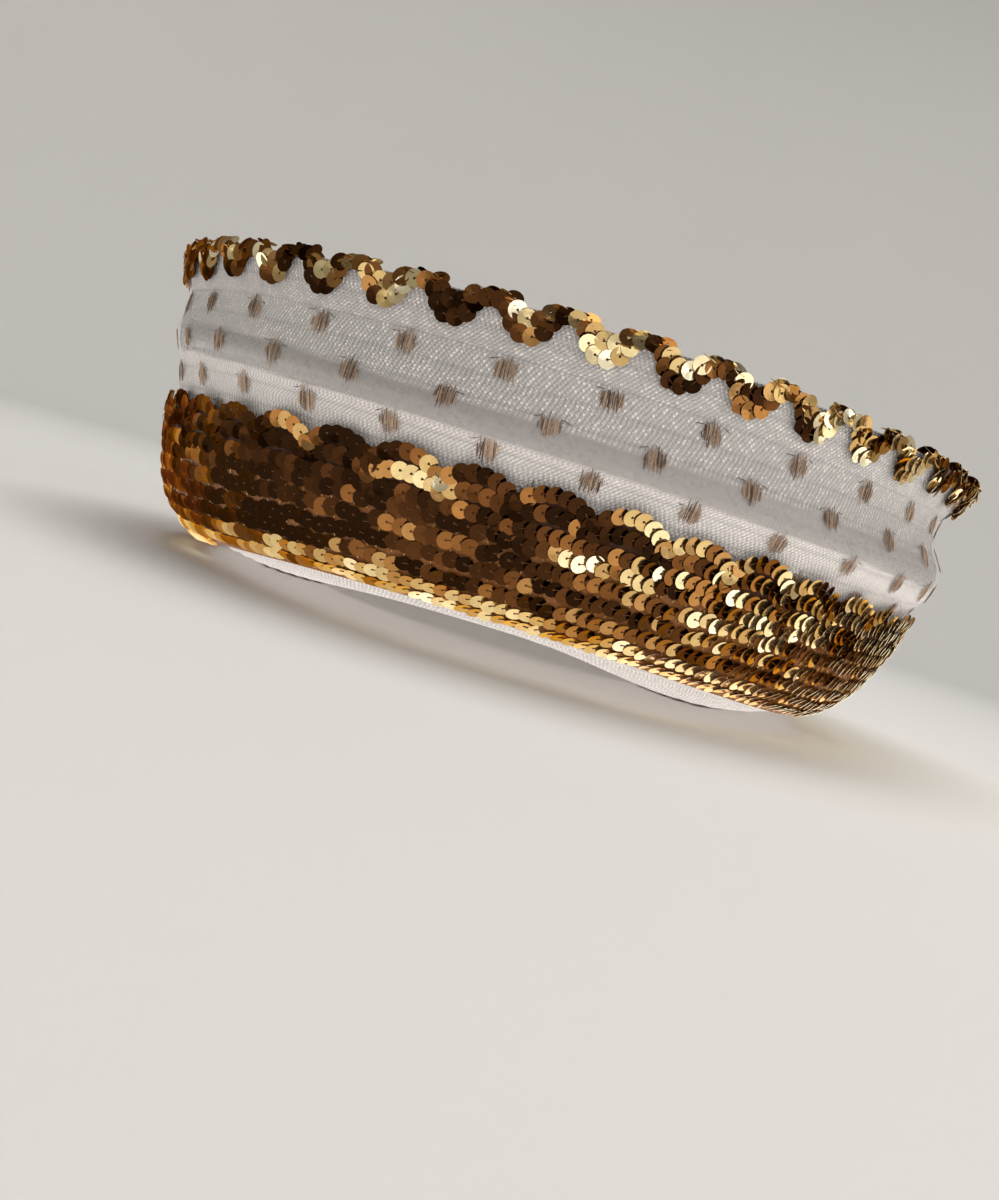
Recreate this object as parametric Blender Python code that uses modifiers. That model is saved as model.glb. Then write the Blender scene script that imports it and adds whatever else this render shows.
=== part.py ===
"""Church hat: an upturned braid brim under dotted net, with a sequin band and two sequin trims.

Metres, +Z up. The hat rests on the level parts of its underside at z = 0, its front towards -X.
"""
import math
from typing import NamedTuple

import bmesh
import bpy

# Brim sizes: outer face of the braid, rim to rim
BRIM_LENGTH = 0.4325
BRIM_WIDTH = 0.427
BRIM_HEIGHT = 0.147
BRIM_WALL = 0.002

# Head opening, and how far its sides arch up off the surface that the hat rests on
HEAD_LENGTH = 0.198
HEAD_WIDTH = 0.166
SIDE_ARCH = 0.0105
COLLAR_HEIGHT = 0.012

# The arch falls quickly to the level back and slowly to the level front
ARCH_POWER_BACK = 3.0
ARCH_POWER_FRONT = 1.3
LEVEL_SHARE = 0.15

# Crown, from its lower edge to its top
CROWN_HEIGHT = 0.118
CROWN_WALL = 0.002

# Net, band and trims
NET_WALL = 0.001
BAND_THICKNESS = 0.002
BAND_RIB = 0.001
SEQUIN_ROWS = 6
TRIM_THICKNESS = 0.0025
LOBE_PITCH = 0.032
BAND_LOBE_TOP = 0.0195
BAND_LOBE_GAP = 0.0125
RIM_LOBE_DROP = 0.0165
RIM_GAP_DROP = 0.0065
RIM_INNER_LOBE_DROP = 0.009
RIM_INNER_GAP_DROP = 0.003

# Clearances between touching pieces
GAP = 0.0003
RIM_GAP = 0.0005

# The wall has three facets for every two lobes of the trims, which have three facets a lobe
FACETS_PER_LOBE = 3


class Ring(NamedTuple):
    """One ring of the brim's outer face, as shares of its half length, half width and height."""

    name: str
    front: float
    side: float
    back: float
    front_height: float
    side_height: float
    back_height: float


class Step(NamedTuple):
    """One ring of the crown, as shares of its height and of its radius at the lower edge."""

    height: float
    radius: float


BRIM_RINGS = (
    #     name            front   side   back   heights: front, side, back
    Ring("foot",          0.573, 0.515, 0.601, 0.000, 0.078, 0.000),
    Ring("underside",     0.675, 0.665, 0.712, 0.019, 0.099, 0.034),
    Ring("band_bottom",   0.758, 0.801, 0.795, 0.048, 0.153, 0.092),
    Ring("turn",          0.805, 0.867, 0.832, 0.078, 0.214, 0.133),
    Ring("lower_wall",    0.879, 0.913, 0.883, 0.187, 0.320, 0.218),
    Ring("band_top",      0.918, 0.937, 0.934, 0.388, 0.422, 0.374),
    Ring("lobe_top",      0.923, 0.965, 0.957, 0.517, 0.565, 0.510),
    Ring("below_ridge",   0.943, 0.984, 0.992, 0.633, 0.619, 0.592),
    Ring("ridge",         0.965, 0.998, 1.001, 0.738, 0.680, 0.677),
    Ring("over_ridge",    0.962, 0.993, 0.969, 0.796, 0.748, 0.762),
    Ring("waist",         0.962, 0.988, 0.963, 0.850, 0.857, 0.837),
    Ring("rim",           0.983, 1.000, 1.017, 0.980, 1.000, 0.980),
)

CROWN_STEPS = (
    Step(0.00, 1.00),
    Step(0.50, 1.00),
    Step(0.82, 0.86),
    Step(0.96, 0.54),
    Step(1.00, 0.00),
)


def lobe_count():
    """Lobes round the rim, an even number so that the wall's facets line up with them."""
    circumference = math.pi * (BRIM_LENGTH + BRIM_WIDTH) / 2
    return 2 * round(circumference / LOBE_PITCH / 2)


def angles(count):
    """Evenly spaced angles round the hat, from the back (+X) anticlockwise."""
    return [2 * math.pi * i / count for i in range(count)]


def wall_angles():
    """The angles of the wall's facets."""
    return angles(lobe_count() * FACETS_PER_LOBE // 2)


def trim_angles():
    """The angles of the trims' facets."""
    return angles(lobe_count() * FACETS_PER_LOBE)


def lobe_wave(angle, phase=0.0):
    """1 at the middle of a lobe and 0 between lobes."""
    return 0.5 + 0.5 * math.cos(lobe_count() * angle + phase)


def blend_radius(angle, front, side, back):
    """Radius at an angle, from the front, side and back values."""
    end = back if math.cos(angle) > 0 else front
    return end * math.cos(angle) ** 2 + side * math.sin(angle) ** 2


def blend_height(angle, front, side, back):
    """Height at an angle; both ends stay level for some way round."""
    backwards = math.cos(angle) > 0
    power = ARCH_POWER_BACK if backwards else ARCH_POWER_FRONT
    raised = abs(math.sin(angle)) ** power
    share = max(0.0, (raised - LEVEL_SHARE) / (1 - LEVEL_SHARE))
    return (back if backwards else front) * (1 - share) + side * share


def head_radius(angle):
    """Radius of the head opening."""
    return blend_radius(angle, HEAD_LENGTH / 2, HEAD_WIDTH / 2, HEAD_LENGTH / 2)


def head_height(angle):
    """Height of the head opening's edge above the resting surface."""
    return blend_height(angle, 0.0, SIDE_ARCH, 0.0)


def collar_profile(angle):
    """(radius, height) of the collar's top and of the opening's edge."""
    radius = head_radius(angle)
    edge = head_height(angle)
    return [(radius, edge + COLLAR_HEIGHT), (radius, edge)]


def ring_index(name):
    """Place of a named ring in a brim profile, which starts with the collar."""
    return len(collar_profile(0.0)) + [ring.name for ring in BRIM_RINGS].index(name)


def brim_profile(angle):
    """(radius, height) of the brim's outer face, from the collar's top to the rim."""
    points = collar_profile(angle)
    half_length = BRIM_LENGTH / 2
    half_width = BRIM_WIDTH / 2
    for ring in BRIM_RINGS:
        radius = blend_radius(angle, ring.front * half_length, ring.side * half_width, ring.back * half_length)
        share = blend_height(angle, ring.front_height, ring.side_height, ring.back_height)
        points.append((radius, share * BRIM_HEIGHT))
    return points


def direction(start, end):
    """Unit vector from one profile point to another."""
    length = math.dist(start, end)
    return ((end[0] - start[0]) / length, (end[1] - start[1]) / length)


def outward(course):
    """Normal of a profile stretch, on the outer side."""
    return (course[1], -course[0])


def offset_profile(points, distance):
    """The profile moved outwards by a distance, square to each of its stretches."""
    courses = [direction(a, b) for a, b in zip(points, points[1:])]
    moved = []
    for i, (radius, height) in enumerate(points):
        before = outward(courses[max(i - 1, 0)])
        after = outward(courses[min(i, len(courses) - 1)])
        total = (before[0] + after[0], before[1] + after[1])
        scale = 2 * distance / (total[0] ** 2 + total[1] ** 2)
        moved.append((radius + total[0] * scale, height + total[1] * scale))
    return moved


def profile_length(points):
    """Length along a profile."""
    return sum(math.dist(a, b) for a, b in zip(points, points[1:]))


def along(points, distance, lift=0.0):
    """Point at a distance along a profile, lifted off it on the outer side."""
    for start, end in zip(points, points[1:]):
        span = math.dist(start, end)
        if distance <= span:
            break
        distance -= span
    else:
        distance = span
    course = direction(start, end)
    normal = outward(course)
    radius = start[0] + course[0] * distance + normal[0] * lift
    height = start[1] + course[1] * distance + normal[1] * lift
    return (radius, height)


def sweep(angle, points):
    """Places of a profile's points in the hat, at an angle."""
    return [(r * math.cos(angle), r * math.sin(angle), z) for r, z in points]


def lofted_mesh(name, sections, closed):
    """Mesh of faces between neighbouring sections, right round the hat."""
    count = len(sections[0])
    vertices = [point for section in sections for point in section]
    faces = []
    for i in range(len(sections)):
        here = i * count
        after = (i + 1) % len(sections) * count
        for j in range(count if closed else count - 1):
            k = (j + 1) % count
            faces.append((here + j, after + j, after + k, here + k))
    mesh = bpy.data.meshes.new(name)
    mesh.from_pydata(vertices, [], faces)
    return mesh


def merge_pole(mesh):
    """Closes a dome whose last ring has no width."""
    shape = bmesh.new()
    shape.from_mesh(mesh)
    bmesh.ops.remove_doubles(shape, verts=shape.verts, dist=GAP / 10)
    shape.to_mesh(mesh)
    shape.free()


def make_material(name, colour, roughness, metallic=0.0):
    """Principled material of one piece."""
    material = bpy.data.materials.new(name)
    material.use_nodes = True
    shader = material.node_tree.nodes["Principled BSDF"]
    shader.inputs["Base Color"].default_value = (*colour, 1.0)
    shader.inputs["Roughness"].default_value = roughness
    shader.inputs["Metallic"].default_value = metallic
    material.diffuse_color = (*colour, 1.0)
    return material


def add_piece(mesh, material, parent, smooth_angle=50):
    """Object of a piece, in the hat's collection."""
    piece = bpy.data.objects.new(mesh.name, mesh)
    mesh.materials.append(material)
    mesh.shade_smooth()
    mesh.set_sharp_from_angle(angle=math.radians(smooth_angle))
    parent.users_collection[0].objects.link(piece)
    piece.parent = parent
    return piece


def add_wall(piece, thickness, side):
    """Gives an open surface its wall, on the outer (1) or inner (-1) side."""
    wall = piece.modifiers.new("wall", "SOLIDIFY")
    wall.thickness = thickness
    wall.offset = side
    wall.use_even_offset = True


def make_brim(parent):
    """Braid brim: collar, underside, ridged wall and flared rim."""
    sections = [sweep(angle, brim_profile(angle)) for angle in wall_angles()]
    material = make_material("white_braid", (0.83, 0.81, 0.78), 0.55)
    piece = add_piece(lofted_mesh("brim", sections, closed=False), material, parent)
    add_wall(piece, BRIM_WALL, side=-1)


def crown_profile(angle):
    """(radius, height) of the crown's outer face, from its lower edge to its top."""
    radius = head_radius(angle) + BRIM_WALL + GAP + CROWN_WALL
    edge = head_height(angle) + BRIM_WALL + GAP
    top = BRIM_WALL + GAP + CROWN_HEIGHT
    return [(radius * step.radius, edge + (top - edge) * step.height) for step in CROWN_STEPS]


def make_crown(parent):
    """Dome over the head, its lower edge round the brim's collar."""
    sections = [sweep(angle, crown_profile(angle)) for angle in wall_angles()]
    mesh = lofted_mesh("crown", sections, closed=False)
    merge_pole(mesh)
    piece = add_piece(mesh, make_material("white_crown_braid", (0.80, 0.78, 0.75), 0.6), parent)
    add_wall(piece, CROWN_WALL, side=-1)


def make_net(parent):
    """Net sleeve over the wall, from under the band up to the rim."""
    start = ring_index("lower_wall")
    sections = []
    for angle in wall_angles():
        net = offset_profile(brim_profile(angle), GAP)[start:]
        sections.append(sweep(angle, net))
    material = make_material("white_net", (0.88, 0.87, 0.85), 0.7)
    piece = add_piece(lofted_mesh("net_sleeve", sections, closed=False), material, parent)
    add_wall(piece, NET_WALL, side=1)


def band_seat(angle):
    """The face that the band and its trim lie on: the net's outer face and a gap."""
    return offset_profile(brim_profile(angle), GAP + NET_WALL + GAP)


def band_section(angle):
    """Closed section of the sequin band: a rib for each row outside, smooth inside."""
    seat = band_seat(angle)[ring_index("band_bottom"):ring_index("band_top") + 1]
    length = profile_length(seat)
    halves = 2 * SEQUIN_ROWS
    outside = []
    for i in range(halves + 1):
        lift = BAND_THICKNESS + (BAND_RIB if i % 2 else 0.0)
        outside.append(along(seat, length * i / halves, lift))
    return outside + seat[::-1]


def make_band(parent, material):
    """Sequin band round the lower wall, with an edge along each rib and groove."""
    sections = [sweep(angle, band_section(angle)) for angle in wall_angles()]
    add_piece(lofted_mesh("sequin_band", sections, closed=True), material, parent, smooth_angle=15)


def band_trim_section(angle):
    """Closed section of the lobed trim that stands on the band's top edge."""
    seat = band_seat(angle)[ring_index("band_top"):]
    reach = BAND_LOBE_GAP + (BAND_LOBE_TOP - BAND_LOBE_GAP) * lobe_wave(angle)
    return [
        along(seat, GAP, TRIM_THICKNESS),
        along(seat, reach, TRIM_THICKNESS),
        along(seat, reach),
        along(seat, GAP),
    ]


def make_band_trim(parent, material):
    """Lobed sequin trim along the band's top edge."""
    sections = [sweep(angle, band_trim_section(angle)) for angle in trim_angles()]
    add_piece(lofted_mesh("band_trim", sections, closed=True), material, parent)


def below_rim(face, distance):
    """Point of a face at a distance below its upper end."""
    return along(face, profile_length(face) - distance)


def above_rim(face, distance):
    """Point straight on past a face's upper end."""
    course = direction(face[-2], face[-1])
    return (face[-1][0] + course[0] * distance, face[-1][1] + course[1] * distance)


def rim_trim_section(angle):
    """Closed section of the trim over the rim, its outer and inner legs long in turn."""
    profile = brim_profile(angle)
    wall_facets = lobe_count() * FACETS_PER_LOBE // 2
    sag = BRIM_LENGTH / 2 * (1 - math.cos(math.pi / wall_facets))
    outer = GAP + NET_WALL + RIM_GAP
    inner = -(BRIM_WALL + RIM_GAP + sag)
    outer_base = offset_profile(profile, outer)
    outer_face = offset_profile(profile, outer + TRIM_THICKNESS)
    inner_base = offset_profile(profile, inner)
    inner_face = offset_profile(profile, inner - TRIM_THICKNESS)
    outer_swing = RIM_LOBE_DROP - RIM_GAP_DROP
    inner_swing = RIM_INNER_LOBE_DROP - RIM_INNER_GAP_DROP
    outer_leg = RIM_GAP_DROP + outer_swing * lobe_wave(angle)
    inner_leg = RIM_INNER_GAP_DROP + inner_swing * lobe_wave(angle, math.pi)
    over = RIM_GAP + TRIM_THICKNESS
    return [
        below_rim(outer_face, outer_leg),
        above_rim(outer_face, over),
        above_rim(inner_face, over),
        below_rim(inner_face, inner_leg),
        below_rim(inner_base, inner_leg),
        above_rim(inner_base, RIM_GAP),
        above_rim(outer_base, RIM_GAP),
        below_rim(outer_base, outer_leg),
    ]


def make_rim_trim(parent, material):
    """Zigzag sequin trim over the rim."""
    sections = [sweep(angle, rim_trim_section(angle)) for angle in trim_angles()]
    add_piece(lofted_mesh("rim_trim", sections, closed=True), material, parent)


def centre_offset():
    """How far the middle of the hat's length lies from the middle of its head opening."""
    back = max(radius for radius, _ in rim_trim_section(0.0))
    front = max(radius for radius, _ in rim_trim_section(math.pi))
    return (back - front) / 2


def clear_scene():
    """Removes the objects that the scene starts with."""
    for item in list(bpy.data.objects):
        bpy.data.objects.remove(item, do_unlink=True)


def make_hat():
    """Makes every piece, with the middle of the hat's length and width at the origin."""
    collection = bpy.data.collections.new("church_hat")
    bpy.context.scene.collection.children.link(collection)
    hat = bpy.data.objects.new("hat_centre", None)
    collection.objects.link(hat)
    hat.location.x = -centre_offset()
    sequins = make_material("gold_sequins", (0.42, 0.25, 0.09), 0.25, metallic=1.0)
    trim_sequins = make_material("gold_trim_sequins", (0.48, 0.29, 0.11), 0.25, metallic=1.0)
    rim_sequins = make_material("gold_rim_sequins", (0.50, 0.31, 0.12), 0.25, metallic=1.0)
    make_brim(hat)
    make_crown(hat)
    make_net(hat)
    make_band(hat, sequins)
    make_band_trim(hat, trim_sequins)
    make_rim_trim(hat, rim_sequins)


clear_scene()
make_hat()
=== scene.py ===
"""Church hat of white braid under dotted net, with a sequin band and sequin trims.

Metres, +Z up. The hat rests on the floor at z = 0 with its front towards -X. Angles run round the
hat from the back (+X) anticlockwise, and distances run along the brim's outer face from the top of
the collar inside the head opening out to the rim.
"""

import logging
import math
from contextlib import contextmanager
from dataclasses import dataclass, field
from enum import Enum
from typing import Callable, Iterator, NamedTuple, Optional, Sequence

import bmesh
import bpy
import numpy as np
from mathutils import Matrix, Vector


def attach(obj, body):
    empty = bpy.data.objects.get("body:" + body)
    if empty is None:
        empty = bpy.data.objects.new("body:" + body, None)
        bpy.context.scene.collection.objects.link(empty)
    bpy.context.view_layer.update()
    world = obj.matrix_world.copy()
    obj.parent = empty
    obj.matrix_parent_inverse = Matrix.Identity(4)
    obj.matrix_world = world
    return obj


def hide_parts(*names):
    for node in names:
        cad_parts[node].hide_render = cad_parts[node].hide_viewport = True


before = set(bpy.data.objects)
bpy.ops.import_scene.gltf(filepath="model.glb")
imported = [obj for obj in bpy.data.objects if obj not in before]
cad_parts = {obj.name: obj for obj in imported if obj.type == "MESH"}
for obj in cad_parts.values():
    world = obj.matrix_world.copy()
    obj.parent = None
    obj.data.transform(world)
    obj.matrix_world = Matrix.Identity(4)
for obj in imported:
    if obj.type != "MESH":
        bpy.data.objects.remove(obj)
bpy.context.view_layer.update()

LOG = logging.getLogger("church_hat")
TAU = 2 * math.pi
MM = 0.001
LINE_SAMPLES = 9000
TAPE_CELLS = 600.0

Colour = tuple[float, float, float]
Faced = tuple[np.ndarray, np.ndarray]
Line = Callable[[np.ndarray], Faced]


# Form

class Ring(NamedTuple):
    """One ring of the brim's outer face, as shares of its half length, half width and height."""

    name: str
    front: float
    side: float
    back: float
    front_height: float
    side_height: float
    back_height: float


BRIM_RINGS = (
    Ring("foot", 0.573, 0.515, 0.601, 0.000, 0.078, 0.000),
    Ring("underside", 0.675, 0.665, 0.712, 0.019, 0.099, 0.034),
    Ring("band_bottom", 0.758, 0.801, 0.795, 0.048, 0.153, 0.092),
    Ring("turn", 0.805, 0.867, 0.832, 0.078, 0.214, 0.133),
    Ring("lower_wall", 0.879, 0.913, 0.883, 0.187, 0.320, 0.218),
    Ring("band_top", 0.918, 0.937, 0.934, 0.388, 0.422, 0.374),
    Ring("lobe_top", 0.923, 0.965, 0.957, 0.517, 0.565, 0.510),
    Ring("below_ridge", 0.943, 0.984, 0.992, 0.633, 0.619, 0.592),
    Ring("ridge", 0.965, 0.998, 1.001, 0.738, 0.680, 0.677),
    Ring("over_ridge", 0.962, 0.993, 0.969, 0.796, 0.748, 0.762),
    Ring("waist", 0.962, 0.988, 0.963, 0.850, 0.857, 0.837),
    Ring("rim", 0.983, 1.000, 1.017, 0.980, 1.000, 0.980),
)


@dataclass
class Spots:
    """Places for small pieces: their points, outward normals, run directions, tones and sizes."""

    points: np.ndarray
    normals: np.ndarray
    runs: np.ndarray
    tones: Optional[np.ndarray] = None
    sizes: Optional[np.ndarray] = None

    @staticmethod
    def joined(parts: Sequence["Spots"]) -> "Spots":
        """All the places of several sets, which hold the same kinds of values."""
        columns = zip(*(vars(part).values() for part in parts))
        return Spots(*(None if some[0] is None else np.concatenate(some) for some in columns))


def unit(vectors: np.ndarray) -> np.ndarray:
    """The vectors at length 1."""
    return vectors / np.maximum(np.linalg.norm(vectors, axis=-1, keepdims=True), 1e-12)


def angles_round(count: int) -> np.ndarray:
    """Evenly spaced angles round the hat."""
    return np.arange(count) * TAU / count


@dataclass
class HatForm:
    """Smooth outer face of the brim, which every piece is laid on."""

    length: float = 0.4325
    width: float = 0.427
    height: float = 0.147
    wall: float = 0.002
    head_length: float = 0.198
    head_width: float = 0.166
    side_arch: float = 0.0105
    collar_height: float = 0.012
    collar_bend: float = 0.0026
    collar_foot: float = 0.35
    head_centre_x: float = -0.0038456
    arch_power_back: float = 3.0
    arch_power_front: float = 1.3
    level_share: float = 0.15
    dip: float = 0.0045
    dip_place: float = 148.0
    dip_width: float = 26.0
    crest: float = 0.0012
    crest_drop: float = 0.004
    crest_above: float = 0.013
    crest_below: float = 0.0028
    rim_step: float = 0.002
    columns: int = 504
    samples: int = 281
    segment_samples: int = 24
    places: np.ndarray = field(init=False)
    normals: np.ndarray = field(init=False)
    lengths: np.ndarray = field(init=False)
    ring_distances: dict = field(init=False)

    def __post_init__(self) -> None:
        """Works out the grid of points and normals that the other methods read."""
        angles = angles_round(self.columns)
        profile, marks = self._dense_profile(angles)
        steps = np.linalg.norm(np.diff(profile, axis=1), axis=2)
        travelled = np.concatenate([np.zeros((self.columns, 1)), np.cumsum(steps, axis=1)], axis=1)
        self.lengths = travelled[:, -1]
        self.ring_distances = {name: travelled[:, index] for name, index in marks.items()}
        even = np.empty((self.columns, self.samples, 2))
        for i in range(self.columns):
            wanted = np.linspace(0, self.lengths[i], self.samples)
            for axis in (0, 1):
                even[i, :, axis] = np.interp(wanted, travelled[i], profile[i, :, axis])
        radius, height = even[..., 0], even[..., 1]
        cos, sin = np.cos(angles)[:, None], np.sin(angles)[:, None]
        self.places = np.stack([radius * cos + self.head_centre_x, radius * sin, height], axis=2)
        up = np.gradient(self.places, axis=1)
        across = np.roll(self.places, -1, axis=0) - np.roll(self.places, 1, axis=0)
        self.normals = unit(np.cross(across, up))

    def blend_radius(self, angle: np.ndarray, front: float, side: float, back: float) -> np.ndarray:
        """Radius at an angle from the front, side and back values."""
        end = np.where(np.cos(angle) > 0, back, front)
        return end * np.cos(angle) ** 2 + side * np.sin(angle) ** 2

    def blend_height(self, angle: np.ndarray, front: float, side: float, back: float) -> np.ndarray:
        """Height at an angle; both ends stay level for some way round.

        Args:
            angle: Angles round the hat.
            front: Height at the front.
            side: Height at both sides.
            back: Height at the back.

        Returns:
            Height at each angle.
        """
        backwards = np.cos(angle) > 0
        power = np.where(backwards, self.arch_power_back, self.arch_power_front)
        raised = np.abs(np.sin(angle)) ** power
        share = np.clip((raised - self.level_share) / (1 - self.level_share), 0, 1)
        return np.where(backwards, back, front) * (1 - share) + side * share

    def head_edge(self, angle: np.ndarray) -> Faced:
        """Radius and height of the head opening's edge."""
        half = self.head_length / 2
        return (self.blend_radius(angle, half, self.head_width / 2, half),
                self.blend_height(angle, 0.0, self.side_arch, 0.0))

    def _dense_profile(self, angle: np.ndarray) -> tuple[np.ndarray, dict]:
        """The face's profile at each angle as a dense line.

        Args:
            angle: Angles of the columns.

        Returns:
            Radius and height of each point, and the place of each named ring in the line.
        """
        head, edge = self.head_edge(angle)
        bend = self.collar_bend
        collar = [(0.0, self.collar_height * t) for t in np.linspace(1, self.collar_foot, 10)]
        for turn in np.linspace(0, math.pi / 2, 9):
            collar.append((bend * (1 - math.cos(turn)), bend * (1 - math.sin(turn))))
        line = [np.stack([head + out, edge + up], axis=1) for out, up in collar]
        knots = [line[-1] - np.array([bend * 2, 0.0]), line[-1]]
        half_length, half_width = self.length / 2, self.width / 2
        for ring in BRIM_RINGS:
            radius = self.blend_radius(
                angle, ring.front * half_length, ring.side * half_width, ring.back * half_length)
            height = self.height * self.blend_height(
                angle, ring.front_height, ring.side_height, ring.back_height)
            knots.append(np.stack([radius, height], axis=1))
        knots.append(2 * knots[-1] - knots[-2])
        marks = {}
        for i, ring in enumerate(BRIM_RINGS):
            line.extend(spline_stretch(*knots[i:i + 4], self.segment_samples))
            marks[ring.name] = len(line) - 1
        dense = np.stack(line, axis=1)
        dense[..., 1] = np.maximum(dense[..., 1], 0.0)
        beyond = dense[:, :, 1] - dense[:, marks["ridge"], 1][:, None] + self.crest_drop
        fall = np.exp(-(beyond / np.where(beyond > 0, self.crest_above, self.crest_below)) ** 2)
        on_wall = np.arange(dense.shape[1])[None, :] > marks["turn"]
        dense[..., 0] += self.crest * np.sin(angle)[:, None] ** 4 * fall * on_wall
        return dense, marks

    def _between(self, table: np.ndarray, angle: np.ndarray) -> np.ndarray:
        """Values of a table at any angles.

        Args:
            table: Values with one row a column of the form.
            angle: Angles round the hat.

        Returns:
            Value at each angle.
        """
        place = (np.asarray(angle) / TAU) % 1.0 * self.columns
        low = np.floor(place).astype(int) % self.columns
        part = (place - np.floor(place)).reshape((-1,) + (1,) * (table.ndim - 1))
        return table[low] * (1 - part) + table[(low + 1) % self.columns] * part

    def ring(self, name: str, angle: np.ndarray) -> np.ndarray:
        """Distance of a named ring along the face, at angles."""
        return self._between(self.ring_distances[name], angle)

    def rim(self, angle: np.ndarray) -> np.ndarray:
        """Distance of the rim along the face, at angles."""
        return self._between(self.lengths, angle)

    def band_edge(self, angle: np.ndarray) -> np.ndarray:
        """Distance of the sequins' top edge, which hangs lower at the front quarters."""
        off = np.degrees(np.arccos(np.cos(angle))) - self.dip_place
        return self.ring("band_top", angle) - self.dip * np.exp(-(off / self.dip_width) ** 2)

    def at(self, angle: np.ndarray, distance: np.ndarray, lift: float | np.ndarray = 0.0) -> Faced:
        """Points on the face and their normals.

        Args:
            angle: Angle of each point.
            distance: Distance of each along the face.
            lift: How far each lies off the face, outwards.

        Returns:
            Points and outward normals.
        """
        angle, distance = np.broadcast_arrays(angle, distance)
        place = np.clip(distance / self.rim(angle), 0, 1) * (self.samples - 1)
        low = np.minimum(np.floor(place).astype(int), self.samples - 2)
        part = (place - low)[:, None]
        column = (angle / TAU) % 1.0 * self.columns
        left = np.floor(column).astype(int) % self.columns
        right = (left + 1) % self.columns
        share = (column - np.floor(column))[:, None]

        def read(grid: np.ndarray) -> np.ndarray:
            """Values at the places.

            Args:
                grid: Values at the form's points.

            Returns:
                Value at each place.
            """
            near = grid[left, low] * (1 - part) + grid[left, low + 1] * part
            far = grid[right, low] * (1 - part) + grid[right, low + 1] * part
            return near * (1 - share) + far * share

        normals = unit(read(self.normals))
        return read(self.places) + normals * np.broadcast_to(lift, angle.shape)[:, None], normals

    def rim_frame(self, angle: np.ndarray, lift: float = 0.0) -> tuple[np.ndarray, ...]:
        """The rim's points and the directions there.

        Args:
            angle: Angle of each point.
            lift: How far each lies off the face, outwards.

        Returns:
            Points, outward normals, and directions straight on past the rim.
        """
        total = self.rim(angle)
        crest, normal = self.at(angle, total, lift)
        below, _ = self.at(angle, total - self.rim_step, lift)
        return crest, normal, unit(crest - below)

    def over_rim(self, angle: np.ndarray, reach: np.ndarray, lift: float, net_lift: float) -> Faced:
        """Points on a line that wraps over the rim.

        Args:
            angle: Angle of each point.
            reach: Distance over the rim's top, negative below it outside and positive inside.
            lift: How far the points lie off the braid inside and off the net outside.
            net_lift: How far the net's outer side lies off the braid.

        Returns:
            Points and normals that point away from the wall.
        """
        angle, reach = np.broadcast_arrays(angle, reach)
        outer = lift + net_lift
        inner = self.wall + lift
        radius = (outer + inner) / 2
        quarter = math.pi * radius / 2
        total = self.rim(angle)
        crest, crest_normal, upward = self.rim_frame(angle)
        outside, outside_normal = self.at(angle, total + reach + quarter, outer)
        inside, inside_normal = self.at(angle, total - reach + quarter, -inner)
        turn = np.clip(reach / radius, -math.pi / 2, math.pi / 2)[:, None]
        centre = crest + crest_normal * (outer - inner) / 2
        over_normal = upward * np.cos(turn) - crest_normal * np.sin(turn)
        over = centre + over_normal * radius
        is_out, is_in = (reach < -quarter)[:, None], (reach > quarter)[:, None]
        points = np.where(is_out, outside, np.where(is_in, inside, over))
        normals = np.where(is_out, outside_normal, np.where(is_in, -inside_normal, over_normal))
        return points, normals


def spline_stretch(a: np.ndarray, b: np.ndarray, c: np.ndarray, d: np.ndarray,
                   count: int) -> list[np.ndarray]:
    """Points of a centripetal spline after b and up to c.

    Args:
        a: Knot before the stretch, one row a column of the hat.
        b: Knot where the stretch starts.
        c: Knot where it ends.
        d: Knot after it.
        count: Number of points.

    Returns:
        The points, c last.
    """
    def knot(before: np.ndarray, here: np.ndarray, start: np.ndarray) -> np.ndarray:
        """Parameter of the next knot."""
        return start + np.maximum(np.linalg.norm(here - before, axis=1, keepdims=True), 1e-9) ** 0.5
    t0 = np.zeros((len(a), 1))
    t1 = knot(a, b, t0)
    t2 = knot(b, c, t1)
    t3 = knot(c, d, t2)
    points = []
    for share in np.arange(1, count + 1) / count:
        t = t1 + (t2 - t1) * share
        a1 = (t1 - t) / (t1 - t0) * a + (t - t0) / (t1 - t0) * b
        a2 = (t2 - t) / (t2 - t1) * b + (t - t1) / (t2 - t1) * c
        a3 = (t3 - t) / (t3 - t2) * c + (t - t2) / (t3 - t2) * d
        b1 = (t2 - t) / (t2 - t0) * a1 + (t - t0) / (t2 - t0) * a2
        b2 = (t3 - t) / (t3 - t1) * a2 + (t - t1) / (t3 - t1) * a3
        points.append((t2 - t) / (t2 - t1) * b1 + (t - t1) / (t2 - t1) * b2)
    return points


# Mesh helpers

@contextmanager
def edited(mesh: bpy.types.Mesh) -> Iterator[bmesh.types.BMesh]:
    """Opens a mesh for editing and writes it back.

    Args:
        mesh: The mesh.

    Yields:
        Its points, edges and faces.
    """
    shape = bmesh.new()
    shape.from_mesh(mesh)
    yield shape
    shape.to_mesh(mesh)
    shape.free()


def solid(name: str, vertices: list, faces: list) -> bpy.types.Mesh:
    """Closed mesh of points and faces, facing outwards.

    Args:
        name: Name of the mesh.
        vertices: Its points.
        faces: The points of each face.

    Returns:
        The mesh.
    """
    mesh = bpy.data.meshes.new(name)
    mesh.from_pydata(vertices, [], faces)
    with edited(mesh) as shape:
        bmesh.ops.recalc_face_normals(shape, faces=shape.faces)
    return mesh


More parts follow.
